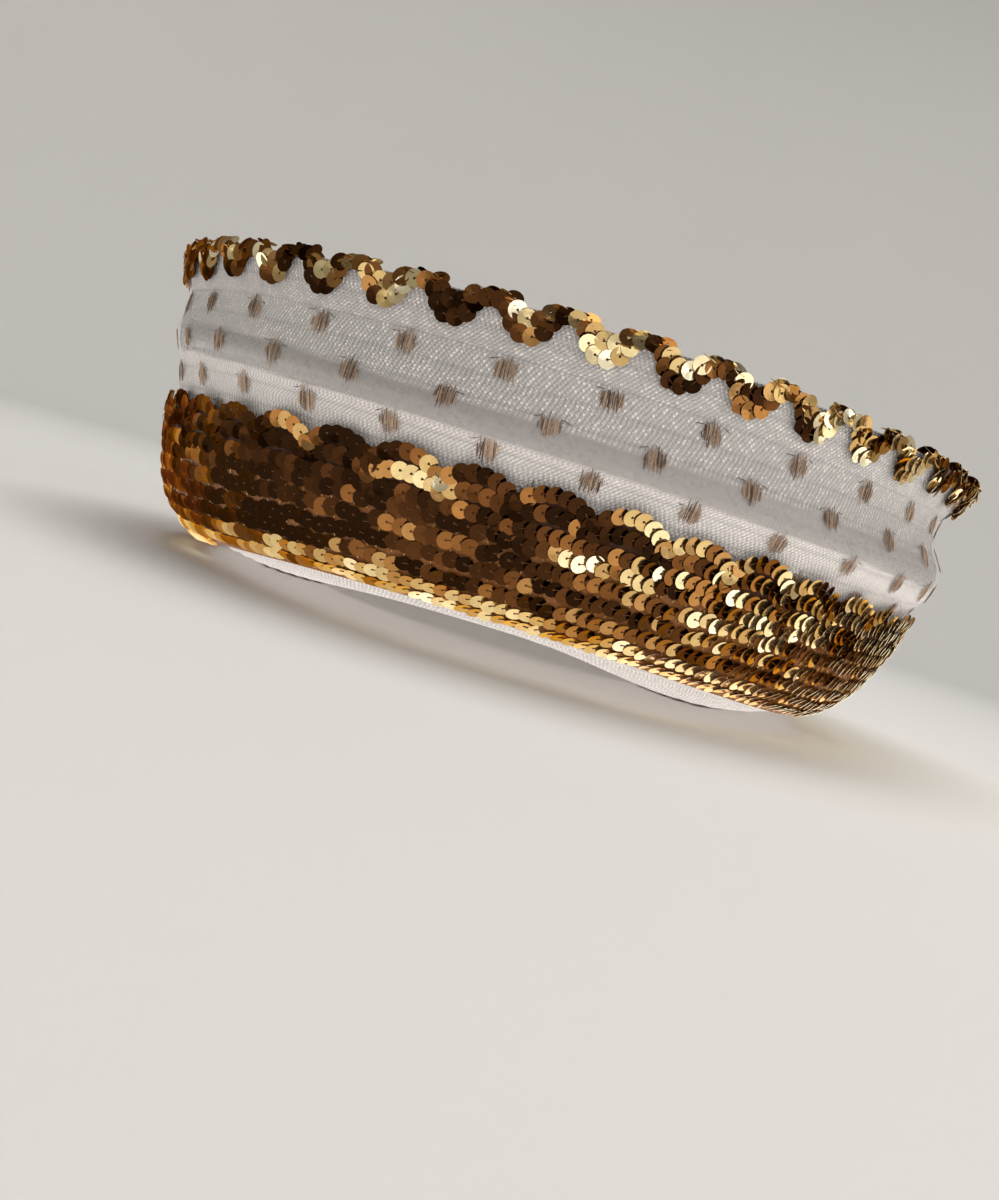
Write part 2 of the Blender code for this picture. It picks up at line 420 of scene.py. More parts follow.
def mark_points(mesh: bpy.types.Mesh, **values: np.ndarray) -> None:
    """Writes numbers or vectors to a mesh's points.

    Args:
        mesh: The mesh.
        values: One row a point, by the attribute's name.
    """
    for label, rows in values.items():
        kind, slot = ("FLOAT_VECTOR", "vector") if rows.ndim == 2 else ("FLOAT", "value")
        layer = mesh.attributes.new(label, kind, "POINT")
        layer.data.foreach_set(slot, np.ascontiguousarray(rows, dtype=np.float32).ravel())


def lofted(name: str, grid: np.ndarray, turns: np.ndarray, rows: np.ndarray,
           closed: bool) -> bpy.types.Mesh:
    """Mesh between neighbouring columns of points, right round the hat.

    Args:
        name: Name of the mesh.
        grid: Points, as columns by rows by three.
        turns: Pattern cells in one turn round the hat, for each row of faces.
        rows: Pattern height of each row of points, one more than the rows of faces.
        closed: Whether the last row joins the first.

    Returns:
        The mesh, with the pattern in its UV map.
    """
    columns, count = grid.shape[:2]
    face_rows = count if closed else count - 1
    i = np.arange(columns)[:, None]
    j = np.arange(face_rows)[None, :]
    k = (j + 1) % count
    after = (i + 1) % columns
    corners = np.stack([i * count + j, after * count + j, after * count + k, i * count + k], axis=2)
    mesh = bpy.data.meshes.new(name)
    mesh.from_pydata(grid.reshape(-1, 3).tolist(), [], corners.reshape(-1, 4).tolist())
    left = i / columns * turns[None, :]
    right = (i + 1) / columns * turns[None, :]
    low = np.broadcast_to(rows[:-1][None, :], left.shape)
    high = np.broadcast_to(rows[1:][None, :], left.shape)
    u = np.stack([left, right, right, left], axis=2)
    v = np.stack([low, low, high, high], axis=2)
    layer = mesh.uv_layers.new(name="pattern")
    layer.data.foreach_set("uv", np.stack([u, v], axis=3).astype(np.float32).ravel())
    return mesh


def placed(mesh: bpy.types.Mesh, material: bpy.types.Material, smooth: float = 60) -> bpy.types.Object:
    """Object of a mesh at the origin.

    Args:
        mesh: Its mesh.
        material: Its finish.
        smooth: Angle in degrees past which an edge is sharp.

    Returns:
        The object.
    """
    mesh.materials.clear()
    mesh.materials.append(material)
    mesh.shade_smooth()
    mesh.set_sharp_from_angle(angle=math.radians(smooth))
    item = bpy.data.objects.new(mesh.name, mesh)
    bpy.context.scene.collection.objects.link(item)
    return item


def weld(mesh: bpy.types.Mesh, distance: float = 1e-6) -> None:
    """Merges points that lie together, such as those of a pole.

    Args:
        mesh: The mesh.
        distance: How near to each other the points lie.
    """
    with edited(mesh) as shape:
        bmesh.ops.remove_doubles(shape, verts=shape.verts, dist=distance)
        bmesh.ops.dissolve_degenerate(shape, edges=shape.edges, dist=distance)


def even_spots(line: Line, pitch: float, start: float = -math.pi, end: float = math.pi,
               closed: bool = True) -> Spots:
    """Evenly spaced places along a line round the hat.

    Args:
        line: Gives points and normals at angles.
        pitch: Spacing wanted along the line.
        start: First angle.
        end: Last angle.
        closed: Whether the line's end meets its start.

    Returns:
        The places, with run directions along the line.
    """
    points, normals = line(np.linspace(start, end, int(abs(end - start) / TAU * LINE_SAMPLES)))
    steps = np.linalg.norm(np.diff(points, axis=0), axis=1)
    travelled = np.concatenate([[0.0], np.cumsum(steps)])
    count = max(2, round(travelled[-1] / pitch))
    wanted = np.arange(count) * travelled[-1] / (count if closed else count - 1)
    runs = np.gradient(points, axis=0)

    def read(values: np.ndarray) -> np.ndarray:
        """Values at the wanted places."""
        return np.stack([np.interp(wanted, travelled, values[:, axis]) for axis in range(3)], axis=1)

    return Spots(read(points), unit(read(normals)), unit(read(runs)))


# Node helpers

class Wiring:
    """Adds nodes to a node tree and joins them."""

    def __init__(self, tree: bpy.types.NodeTree) -> None:
        """Works on a tree."""
        self.tree = tree

    def feed(self, node: bpy.types.Node, **inputs: object) -> bpy.types.Node:
        """Sets or joins a node's inputs.

        Args:
            node: The node.
            inputs: Values or sockets, by the input's name with underscores for spaces, or by its
                index as i0, i1. A colour is given as three numbers.

        Returns:
            The node.
        """
        for key, value in inputs.items():
            numbered = key[0] == "i" and key[1:].isdigit()
            socket = node.inputs[int(key[1:]) if numbered else key.replace("_", " ")]
            if isinstance(value, bpy.types.NodeSocket):
                self.tree.links.new(value, socket)
            else:
                socket.default_value = (*value, 1.0) if socket.type == "RGBA" else value
        return node

    def add(self, kind: str, settings: Optional[dict] = None, **inputs: object) -> bpy.types.Node:
        """Adds a node.

        Args:
            kind: Its type.
            settings: Its properties.
            inputs: Values or sockets for its inputs, as feed() takes them.

        Returns:
            The node.
        """
        node = self.tree.nodes.new(kind)
        for key, value in (settings or {}).items():
            setattr(node, key, value)
        return self.feed(node, **inputs)

    def group(self, tree: bpy.types.NodeTree, **inputs: object) -> bpy.types.NodeOutputs:
        """Outputs of a node group placed with its own values."""
        return self.add("ShaderNodeGroup", {"node_tree": tree}, **inputs).outputs

    def math(self, operation: str, *values: object) -> bpy.types.NodeSocket:
        """Result of a math node."""
        named = {f"i{k}": value for k, value in enumerate(values)}
        return self.add("ShaderNodeMath", {"operation": operation}, **named).outputs[0]

    def mix(self, share: object, first: object, second: object,
            blend: str = "MIX") -> bpy.types.NodeSocket:
        """Colour between two colours."""
        settings = {"data_type": "RGBA", "blend_type": blend}
        return self.add("ShaderNodeMix", settings, i0=share, i6=first, i7=second).outputs[2]

    def shaded(self, colour: object, shade: object) -> bpy.types.NodeSocket:
        """A colour times a shade."""
        return self.mix(1.0, colour, shade, "MULTIPLY")

    def ramp(self, share: object, stops: Sequence[tuple[float, Colour]]) -> bpy.types.NodeSocket:
        """Colour from a ramp.

        Args:
            share: Where on the ramp.
            stops: Place and colour of each stop.

        Returns:
            The colour.
        """
        node = self.add("ShaderNodeValToRGB", None, i0=share)
        elements = node.color_ramp.elements
        while len(elements) < len(stops):
            elements.new(1.0)
        for element, (position, colour) in zip(elements, stops):
            element.position = position
            element.color = (*colour, 1.0)
        return node.outputs[0]

    def noise(self, scale: object, detail: float = 2.0) -> bpy.types.NodeSocket:
        """Value of a noise texture on Object coordinates."""
        place = self.add("ShaderNodeTexCoord").outputs["Object"]
        return self.add("ShaderNodeTexNoise", None, Vector=place, Scale=scale, Detail=detail).outputs[0]

    def bump(self, height: object, strength: float, distance: float) -> bpy.types.NodeSocket:
        """Normal from a height."""
        return self.add(
            "ShaderNodeBump", None, Height=height, Strength=strength, Distance=distance).outputs[0]

    def attribute(self, name: str) -> bpy.types.NodeSocket:
        """Number that the points carry."""
        return self.add("ShaderNodeAttribute", {"attribute_name": name}).outputs["Fac"]

    def pattern(self) -> bpy.types.NodeSocket:
        """Place in the pattern's UV map."""
        return self.add("ShaderNodeUVMap", {"uv_map": "pattern"}).outputs[0]


def new_group(name: str, kind: str, inputs: Sequence[tuple[str, str, object]],
              outputs: Sequence[tuple[str, str]]) -> tuple[Wiring, bpy.types.Node, bpy.types.Node]:
    """Node group with named inputs and outputs.

    Args:
        name: Its name.
        kind: Type of its tree.
        inputs: Name, socket type and first value of each input.
        outputs: Name and socket type of each output.

    Returns:
        Its wiring, and its input and output nodes.
    """
    tree = bpy.data.node_groups.new(name, kind)
    for label, socket_type, value in inputs:
        socket = tree.interface.new_socket(name=label, in_out="INPUT", socket_type=socket_type)
        if value is not None:
            socket.default_value = value
    for label, socket_type in outputs:
        tree.interface.new_socket(name=label, in_out="OUTPUT", socket_type=socket_type)
    return Wiring(tree), tree.nodes.new("NodeGroupInput"), tree.nodes.new("NodeGroupOutput")


class SharedEffects:
    """Shader node groups that several finishes use."""

    def __init__(self) -> None:
        """Builds each group once."""
        self.plait = self._plait()
        self.mottle = self._mottle()

    def _plait(self) -> bpy.types.NodeTree:
        """Plaited strands on the UV map: staggered slanting dashes, each with its own brightness.

        Returns:
            The group.
        """
        number = "NodeSocketFloat"
        wire, given, result = new_group(
            "plait", "ShaderNodeTree",
            [("Vector", "NodeSocketVector", None), ("Strands", number, 4.0), ("Slant", number, 0.3)],
            [("Height", number), ("Chance", number), ("Seam", number)])

        def wave(line: object) -> bpy.types.NodeSocket:
            """0 at whole numbers and 1 between them."""
            return wire.math("ABSOLUTE", wire.math("SINE", wire.math("MULTIPLY", line, math.pi)))

        split = wire.add("ShaderNodeSeparateXYZ", None, Vector=given.outputs["Vector"]).outputs
        across = wire.math("MULTIPLY", split[1], given.outputs["Strands"])
        along = wire.math("MULTIPLY_ADD", across, given.outputs["Slant"], split[0])
        one = wire.math("ADD", along, across)
        two = wire.math("SUBTRACT", along, across)
        gap_sharpness, strand_sharpness, seam_narrowness = 0.35, 0.95, 2.4
        height = wire.math("MULTIPLY", wire.math("POWER", wave(one), gap_sharpness),
                           wire.math("POWER", wave(two), strand_sharpness))
        cell = wire.add("ShaderNodeCombineXYZ", None,
                        X=wire.math("FLOOR", one), Y=wire.math("FLOOR", two)).outputs[0]
        random = wire.add("ShaderNodeTexWhiteNoise", {"noise_dimensions": "2D"}, Vector=cell)
        beside = wire.math("MINIMUM", wire.math("MULTIPLY", wave(split[1]), seam_narrowness), 1.0)
        wire.feed(result, Height=height, Chance=random.outputs[0],
                  Seam=wire.math("SUBTRACT", 1.0, beside))
        return wire.tree

    def _mottle(self) -> bpy.types.NodeTree:
        """Slow uneven shade over a surface, on Object coordinates.

        Returns:
            The group.
        """
        wire, given, result = new_group(
            "mottle", "ShaderNodeTree",
            [("Scale", "NodeSocketFloat", 30.0), ("Amount", "NodeSocketFloat", 0.1)],
            [("Shade", "NodeSocketFloat")])
        centred = wire.math("SUBTRACT", wire.noise(given.outputs["Scale"], detail=3.0), 0.5)
        wire.feed(result, Shade=wire.math("MULTIPLY_ADD", centred, given.outputs["Amount"], 1.0))
        return wire.tree


def start_material(name: str) -> tuple[bpy.types.Material, Wiring, bpy.types.Node]:
    """New material with its wiring and its shader.

    Args:
        name: Its name.

    Returns:
        The material, its wiring and its shader.
    """
    material = bpy.data.materials.new(name)
    material.use_nodes = True
    return material, Wiring(material.node_tree), material.node_tree.nodes["Principled BSDF"]


# Finishes

class Finish:
    """How a piece looks. Each kind fills in the shader of a material of its own name."""

    name: str

    def wire_up(self, wire: Wiring, shader: bpy.types.Node, effects: SharedEffects) -> None:
        """Fills in the shader; each kind of finish has its own."""
        raise NotImplementedError

    def build(self, effects: SharedEffects) -> bpy.types.Material:
        """Makes the material.

        Args:
            effects: The shared node groups.

        Returns:
            The material.
        """
        material, wire, shader = start_material(self.name)
        self.wire_up(wire, shader, effects)
        return material


@dataclass(frozen=True)
class BraidFinish(Finish):
    """White plaited braid, satin, with glossy flecks that carry painted glints; the gaps between strands
    and the seams are painted shade, the smooth band where net bridges the ridge is painted shade, the
    wall above it is painted dimmer and the inside's gaps are painted lighter.
    """

    name: str
    colour: Colour
    # Colour in the gaps between strands, painted shade.
    gap_colour: Colour
    strands: float
    relief: float
    roughness: float = 0.42
    # Painted shade and light: the seams' shade, the ridge band's shade and its lower edge's share, the
    # upper wall's dimming, the underside seams' shade, and the inside gaps' painted lift.
    seam_shade: float = 0.28
    bridged_shade: Colour = (0.29, 0.262, 0.244)
    underside_shade: float = 0.50
    dimming: float = 0.40
    calming: float = 0.50
    under_seam_shade: float = 0.80
    inside_painted_fill: float = 0.78
    middle: float = 0.75
    fleck_from: float = 0.76
    fleck_gloss: float = 0.22
    dullest: float = 0.74
    dull_range: float = 0.20

    def wire_up(self, wire: Wiring, shader: bpy.types.Node, effects: SharedEffects) -> None:
        """Fills in the shader.

        Args:
            wire: Wiring of the material.
            shader: Its shader.
            effects: The shared node groups.
        """
        plait = wire.group(effects.plait, Vector=wire.pattern(), Strands=self.strands)
        mottle = wire.group(effects.mottle, Scale=18.0, Amount=0.14)["Shade"]
        bridged, dimmed, under, inside = map(wire.attribute, ("bridged", "dimmed", "under", "inside"))
        # Flecks are glossier, and their brighter colour is a painted glint.
        gloss_and_glint_fleck = wire.math("GREATER_THAN", plait["Chance"], self.fleck_from)
        dull = wire.math("MULTIPLY_ADD", plait["Chance"], self.dull_range, self.dullest)
        dash = wire.shaded(self.colour, wire.math("MAXIMUM", dull, gloss_and_glint_fleck))
        # The gaps between strands are painted shade; on the inside they are painted lighter, a painted
        # fill.
        gap = wire.mix(inside, self.gap_colour, tuple(v * self.inside_painted_fill for v in self.colour))
        calm = wire.math("MULTIPLY_ADD", wire.math("MAXIMUM", dimmed, under), -self.calming, 1.0)
        relief = wire.math("SUBTRACT", plait["Height"], self.middle)
        woven = wire.mix(wire.math("MULTIPLY_ADD", relief, calm, self.middle), gap, dash)
        # The ridge band's colour is painted shade, darker again towards its lower edge.
        even = tuple((low + high) / 2 * shade for low, high, shade in zip(
            self.gap_colour, self.colour, self.bridged_shade))
        smooth = wire.mix(dimmed, tuple(v * self.underside_shade for v in even), even)
        # The wall above the ridge is painted dimmer as shade, except where flecks keep their painted
        # glints.
        spark = wire.math("MULTIPLY", gloss_and_glint_fleck, wire.math("POWER", plait["Height"], 2.0))
        shade_share = wire.math("MULTIPLY", dimmed, wire.math("SUBTRACT", 1.0, spark))
        painted_upper_shade = wire.math("MULTIPLY_ADD", shade_share, -self.dimming, 1.0)
        # The seams between rows are painted shade, deeper on the underside.
        seam_depth = wire.math("MULTIPLY_ADD", under, self.under_seam_shade - self.seam_shade, self.seam_shade)
        painted_seam_shade = wire.math("SUBTRACT", 1.0, wire.math("MULTIPLY", plait["Seam"], seam_depth))
        # The mottle is the braid's own uneven tone; the rest of this factor is painted shade.
        mottle_and_painted_shade = wire.math("MULTIPLY", wire.math("MULTIPLY", mottle, painted_upper_shade), painted_seam_shade)
        height = wire.math("MULTIPLY", plait["Height"], wire.math("SUBTRACT", 1.0, bridged))
        wire.feed(
            shader, Base_Color=wire.shaded(wire.mix(bridged, woven, smooth), mottle_and_painted_shade),
            Roughness=wire.math("MULTIPLY_ADD", gloss_and_glint_fleck, -self.fleck_gloss, self.roughness + 0.08),
            Normal=wire.bump(height, strength=1.0, distance=self.relief),
            Sheen_Weight=0.1, Specular_IOR_Level=0.7)


@dataclass(frozen=True)
class NetFinish(Finish):
    """Fine sheer net: slanting threads with open cells between them."""

    name: str = "white_net"
    colour: Colour = (0.86, 0.83, 0.81)
    haze: float = 0.07
    thread: float = 0.16
    cover: float = 0.15

    def wire_up(self, wire: Wiring, shader: bpy.types.Node, effects: SharedEffects) -> None:
        """Fills in the shader.

        Args:
            wire: Wiring of the material.
            shader: Its shader.
            effects: The shared node groups.
        """
        split = wire.add("ShaderNodeSeparateXYZ", None, Vector=wire.pattern()).outputs
        threads = []
        for operation in ("ADD", "SUBTRACT"):
            place = wire.math("FRACT", wire.math(operation, split[0], split[1]))
            threads.append(wire.math("LESS_THAN", place, self.thread))
        mottle = wire.group(effects.mottle, Scale=12.0, Amount=0.08)["Shade"]
        wire.feed(
            shader, Base_Color=wire.shaded(self.colour, mottle), Roughness=0.6,
            Alpha=wire.math("MULTIPLY_ADD", wire.math("MAXIMUM", *threads), self.cover, self.haze))


@dataclass(frozen=True)
class SequinFinish(Finish):
    """Metallised film, mirror-like, from near-black bronze to pale gold by each sequin's tone; the tone
    is mostly painted reflection, with a random spread besides.
    """

    name: str
    stops: tuple[tuple[float, tuple[float, float, float]], ...] = (
        (0.00, (0.012, 0.005, 0.002)),
        (0.25, (0.042, 0.016, 0.005)),
        (0.42, (0.125, 0.048, 0.013)),
        (0.54, (0.275, 0.125, 0.034)),
        (0.68, (0.420, 0.295, 0.120)),
        (0.82, (0.600, 0.490, 0.260)),
        (1.00, (0.850, 0.770, 0.540)),
    )
    roughness: float = 0.17

    def wire_up(self, wire: Wiring, shader: bpy.types.Node, effects: SharedEffects) -> None:
        """Fills in the shader.

        Args:
            wire: Wiring of the material.
            shader: Its shader.
            effects: The shared node groups.
        """
        colour = wire.ramp(wire.attribute("tone"), self.stops)
        mottle = wire.group(effects.mottle, Scale=260.0, Amount=0.45)["Shade"]
        wrinkle = wire.noise(scale=420.0)
        wire.feed(
            shader, Base_Color=wire.shaded(colour, mottle),
            Normal=wire.bump(wrinkle, strength=0.35, distance=0.0004),
            Roughness=wire.math("MULTIPLY_ADD", wrinkle, 0.12, self.roughness - 0.06),
            Metallic=0.97, Specular_Tint=(1.0, 0.58, 0.25))


@dataclass(frozen=True)
class ThreadFinish(Finish):
    """Thread or tape, between two colours by each piece's tone, with a fine twist."""

    name: str
    dark: Colour
    light: Colour
    metallic: float
    roughness: float
    twist_scale: float = 900.0
    twist_amount: float = 0.8

    def wire_up(self, wire: Wiring, shader: bpy.types.Node, effects: SharedEffects) -> None:
        """Fills in the shader.

        Args:
            wire: Wiring of the material.
            shader: Its shader.
            effects: The shared node groups; not used.
        """
        twist = wire.noise(self.twist_scale)
        tone = wire.attribute("tone")
        mixed = wire.math("MULTIPLY_ADD", wire.math("SUBTRACT", twist, 0.5), self.twist_amount, tone)
        wire.feed(
            shader, Base_Color=wire.mix(mixed, self.dark, self.light),
            Normal=wire.bump(twist, strength=0.5, distance=0.0002), Specular_IOR_Level=0.2,
            Metallic=self.metallic, Roughness=self.roughness)


@dataclass(frozen=True)
class FloorFinish(Finish):
    """Plain pale studio floor with a faint unevenness."""

    name: str = "pale_floor"
    colour: Colour = (0.78, 0.77, 0.75)

    def wire_up(self, wire: Wiring, shader: bpy.types.Node, effects: SharedEffects) -> None:
        """Fills in the shader."""
        mottle = wire.group(effects.mottle, Scale=3.0, Amount=0.03)["Shade"]
        wire.feed(shader, Base_Color=wire.shaded(self.colour, mottle), Roughness=0.9)


# Laying of small pieces

@dataclass(frozen=True)
class Lean:
    """How laid pieces lean about their own Y and stray from that at random, in degrees."""

    tilt: float = 0.0
    tilt_spread: float = 0.0
    turn_spread: float = 0.0
    seed: int = 0


class LayingTree:
    """Geometry nodes that lay one shape at each place, leaning and turned a little at random."""

    INPUTS = (
        ("Geometry", "NodeSocketGeometry", None),
        ("Shape", "NodeSocketObject", None),
        ("Size", "NodeSocketFloat", 1.0),
        ("Tilt", "NodeSocketFloat", 0.0),
        ("Tilt Spread", "NodeSocketFloat", 0.0),
        ("Turn Spread", "NodeSocketFloat", 0.0),
        ("Seed", "NodeSocketInt", 0),
        ("Finish", "NodeSocketMaterial", None),
    )

    def __init__(self) -> None:
        """Builds the tree."""
        wire, given, result = new_group(
            "laid_pieces", "GeometryNodeTree", self.INPUTS, [("Geometry", "NodeSocketGeometry")])
        self.tree = wire.tree
        out = given.outputs

        def put(kind: str, settings: Optional[dict] = None, **inputs: object) -> bpy.types.NodeSocket:
            """First output of a new node."""
            return wire.add(kind, settings, **inputs).outputs[0]

        def named(label: str) -> bpy.types.NodeSocket:
            """Vector attribute of the places."""
            return put("GeometryNodeInputNamedAttribute", {"data_type": "FLOAT_VECTOR"}, Name=label)

        facing = put("FunctionNodeAlignRotationToVector", {"axis": "Z"}, Vector=named("facing"))
        along = put("FunctionNodeAlignRotationToVector", {"axis": "X", "pivot_axis": "Z"},
                    Rotation=facing, Vector=named("run"))
        spread = put("ShaderNodeCombineXYZ", X=out["Tilt Spread"], Y=out["Tilt Spread"],
                     Z=out["Turn Spread"])
        negative = put("ShaderNodeVectorMath", {"operation": "SCALE"}, Vector=spread, Scale=-1.0)
        chance = put("FunctionNodeRandomValue", {"data_type": "FLOAT_VECTOR"},
                     i0=negative, i1=spread, Seed=out["Seed"])
        lean = put("ShaderNodeCombineXYZ", Y=out["Tilt"])
        total = put("ShaderNodeVectorMath", {"operation": "ADD"}, i0=chance, i1=lean)
        turn = put("FunctionNodeEulerToRotation", Euler=total)
        posed = put("FunctionNodeRotateRotation", {"rotation_space": "LOCAL"},
                    Rotation=along, Rotate_By=turn)
        scale = put("ShaderNodeVectorMath", {"operation": "SCALE"},
                    Vector=named("piece_size"), Scale=out["Size"])
        shape = wire.add("GeometryNodeObjectInfo", None, Object=out["Shape"]).outputs["Geometry"]
        laid = put("GeometryNodeInstanceOnPoints", Points=out["Geometry"],
                   Instance=shape, Rotation=posed, Scale=scale)
        real = put("GeometryNodeRealizeInstances", Geometry=laid)
        painted = put("GeometryNodeSetMaterial", Geometry=real, Material=out["Finish"])
        wire.feed(result, Geometry=painted)

    def lay(self, name: str, spots: Spots, shape: bpy.types.Mesh, material: bpy.types.Material,
            size: float, lean: Lean) -> bpy.types.Object:
        """Lays a shape at places and makes the result one mesh.

        Args:
            name: Name of the piece.
            spots: Where the shape goes.
            shape: Mesh of one shape.
            material: Finish of all of them.
            size: Scale of the shape.
            lean: How the shapes lean and stray.

        Returns:
            The piece.
        """
        count = len(spots.points)
        mesh = bpy.data.meshes.new(name + "_places")
        mesh.from_pydata(spots.points.tolist(), [], [])
        mark_points(mesh, facing=spots.normals, run=spots.runs,
                    piece_size=np.ones((count, 3)) if spots.sizes is None else spots.sizes,
                    tone=np.full(count, 0.5) if spots.tones is None else spots.tones)
        base = bpy.data.objects.new(name + "_base", mesh)
        pattern = bpy.data.objects.new(name + "_shape", shape)
        for item in (base, pattern):
            bpy.context.scene.collection.objects.link(item)
        modifier = base.modifiers.new("laid", "NODES")
        modifier.node_group = self.tree
        values = {"Shape": pattern, "Size": size, "Tilt": math.radians(lean.tilt),
                  "Tilt Spread": math.radians(lean.tilt_spread),
                  "Turn Spread": math.radians(lean.turn_spread), "Seed": lean.seed,
                  "Finish": material}
        for socket in self.tree.interface.items_tree:
            if socket.in_out == "INPUT" and socket.name in values:
                modifier[socket.identifier] = values[socket.name]
        graph = bpy.context.evaluated_depsgraph_get()
        result = bpy.data.meshes.new_from_object(base.evaluated_get(graph))
        base.modifiers.remove(modifier)
        for item in (base, pattern):
            bpy.data.objects.remove(item)
        for label in ("facing", "run", "piece_size"):
            if label in result.attributes:
                result.attributes.remove(result.attributes[label])
        result.name = name
        return placed(result, material, 35)


@dataclass(frozen=True)
class SequinShape:
    """Slightly dished disc with a hole, one unit across."""

    sides: int = 14
    hole: float = 0.075
    dish: float = 0.035
    thickness: float = 0.02

    def build(self) -> bpy.types.Mesh:
        """Makes the mesh of one sequin.

        Returns:
            The mesh.
        """
        half = self.thickness / 2
        section = (
            (self.hole, half), (0.5, half + self.dish), (0.5, -half + self.dish), (self.hole, -half))
        vertices, faces = [], []
        for i in range(self.sides):
            angle = TAU * i / self.sides
            vertices += [(r * math.cos(angle), r * math.sin(angle), z) for r, z in section]
            here, after = i * 4, (i + 1) % self.sides * 4
            faces += [(here + k, here + j, after + j, after + k) for j, k in enumerate((1, 2, 3, 0))]
        return solid("sequin_shape", vertices, faces)


@dataclass(frozen=True)
class ThreadShape:
    """Bowed four-sided thread one unit long along an axis, thinner at its ends."""

    bow: float = 0.08
    stations: int = 4
    along_x: bool = False
    start: float = -0.5
    end: float = 0.5
    end_width: float = 0.7
    swelling: float = 0.3

    def build(self) -> bpy.types.Mesh:
        """Makes the mesh of one thread, one unit wide and thick at its middle.

        Returns:
            The mesh.
        """
        vertices, faces = [], []
        for i in range(self.stations + 1):
            share = i / self.stations
            place = self.start + (self.end - self.start) * share
            swell = self.end_width + self.swelling * math.sin(math.pi * share)
            rise = self.bow * math.sin(math.pi * share)
            for across, up in ((0.5, 0.0), (0.0, 0.5), (-0.5, 0.0), (0.0, -0.5)):
                point = (across * swell, place, rise + up * swell)
                vertices.append((point[1], -point[0], point[2]) if self.along_x else point)
        for i in range(0, self.stations * 4, 4):
            faces += [(i + j, i + k, i + 4 + k, i + 4 + j) for j, k in enumerate((1, 2, 3, 0))]
        last = self.stations * 4
        faces += [(0, 3, 2, 1), (last, last + 1, last + 2, last + 3)]
        return solid("thread_shape", vertices, faces)


class Tones(Enum):
    """How bright the sequins of a row are painted, as painted reflection: the mean and the spread of
    their tones.
    """

    BRIGHT = (0.80, 0.15)
    MIXED = (0.35, 0.26)
    TRIM = (0.42, 0.27)
    RIM = (0.54, 0.30)
    DARK = (0.30, 0.25)

    def draw(self, chance: np.random.Generator, points: np.ndarray, hold: float = 0.62,
             slope: float = 0.0) -> np.ndarray:
        """Tones of a row, in runs of like ones.

        Args:
            chance: Random source.
            points: Places of the sequins.
            hold: How much each keeps of its neighbour's tone.
            slope: How much brighter the tones get towards the back of the hat, a metre, as a painted
                reflection of the light on that side.

        Returns:
            One tone each, from 0 to 1.
        """
        mean, spread = self.value
        tone, tones = 0.0, []
        for step in chance.normal(0.0, 1.0, len(points)):
            tone = hold * tone + math.sqrt(1 - hold ** 2) * step
            tones.append(tone)
        return np.clip(mean + slope * points[:, 0] + spread * np.array(tones), 0.0, 1.0)


# Pieces

@dataclass
class Workshop:
    """What every piece is made with: the form, the effects and the laying tree."""

    form: HatForm
    effects: SharedEffects
    tree: LayingTree

    def lay(self, name: str, spots: Spots, shape: bpy.types.Mesh, finish: Finish,
            size: float = 1.0, lean: Lean = Lean()) -> bpy.types.Object:
        """Piece of one shape laid at places, in a finish."""
        return self.tree.lay(name, spots, shape, finish.build(self.effects), size, lean)

    def sequins(self, name: str, spots: Spots, finish: str, size: float, lean: Lean) -> bpy.types.Object:
        """Piece of sequins at places, with the name of their finish."""
        return self.lay(name, spots, SequinShape().build(), SequinFinish(finish), size, lean)

    def shell(self, name: str, layers: list[np.ndarray], finish: Finish) -> bpy.types.Object:
        """Closed shell through layers of points, for what small pieces are sewn to.

        Args:
            name: Name of the piece.
            layers: Rings of points, out along one side and back along the other.
            finish: Its finish.

        Returns:
            The piece.
        """
        rows = np.arange(len(layers) + 1) * 1.0
        turns = np.full(len(layers), TAPE_CELLS)
        mesh = lofted(name, np.stack(layers, axis=1), turns, rows, closed=True)
        return placed(mesh, finish.build(self.effects))


def cells_round(form: HatForm, grid: np.ndarray, cell: float) -> np.ndarray:
    """Pattern cells in one turn round the hat.

    Args:
        form: Form of the hat.
        grid: Points, as columns by rows by three.
        cell: Size of a cell.

    Returns:
        Whole number of cells for each row of points.
    """
    middle = grid[..., :2] - np.array([form.head_centre_x, 0.0])
    return np.round(TAU * np.linalg.norm(middle, axis=2).mean(axis=0) / cell)


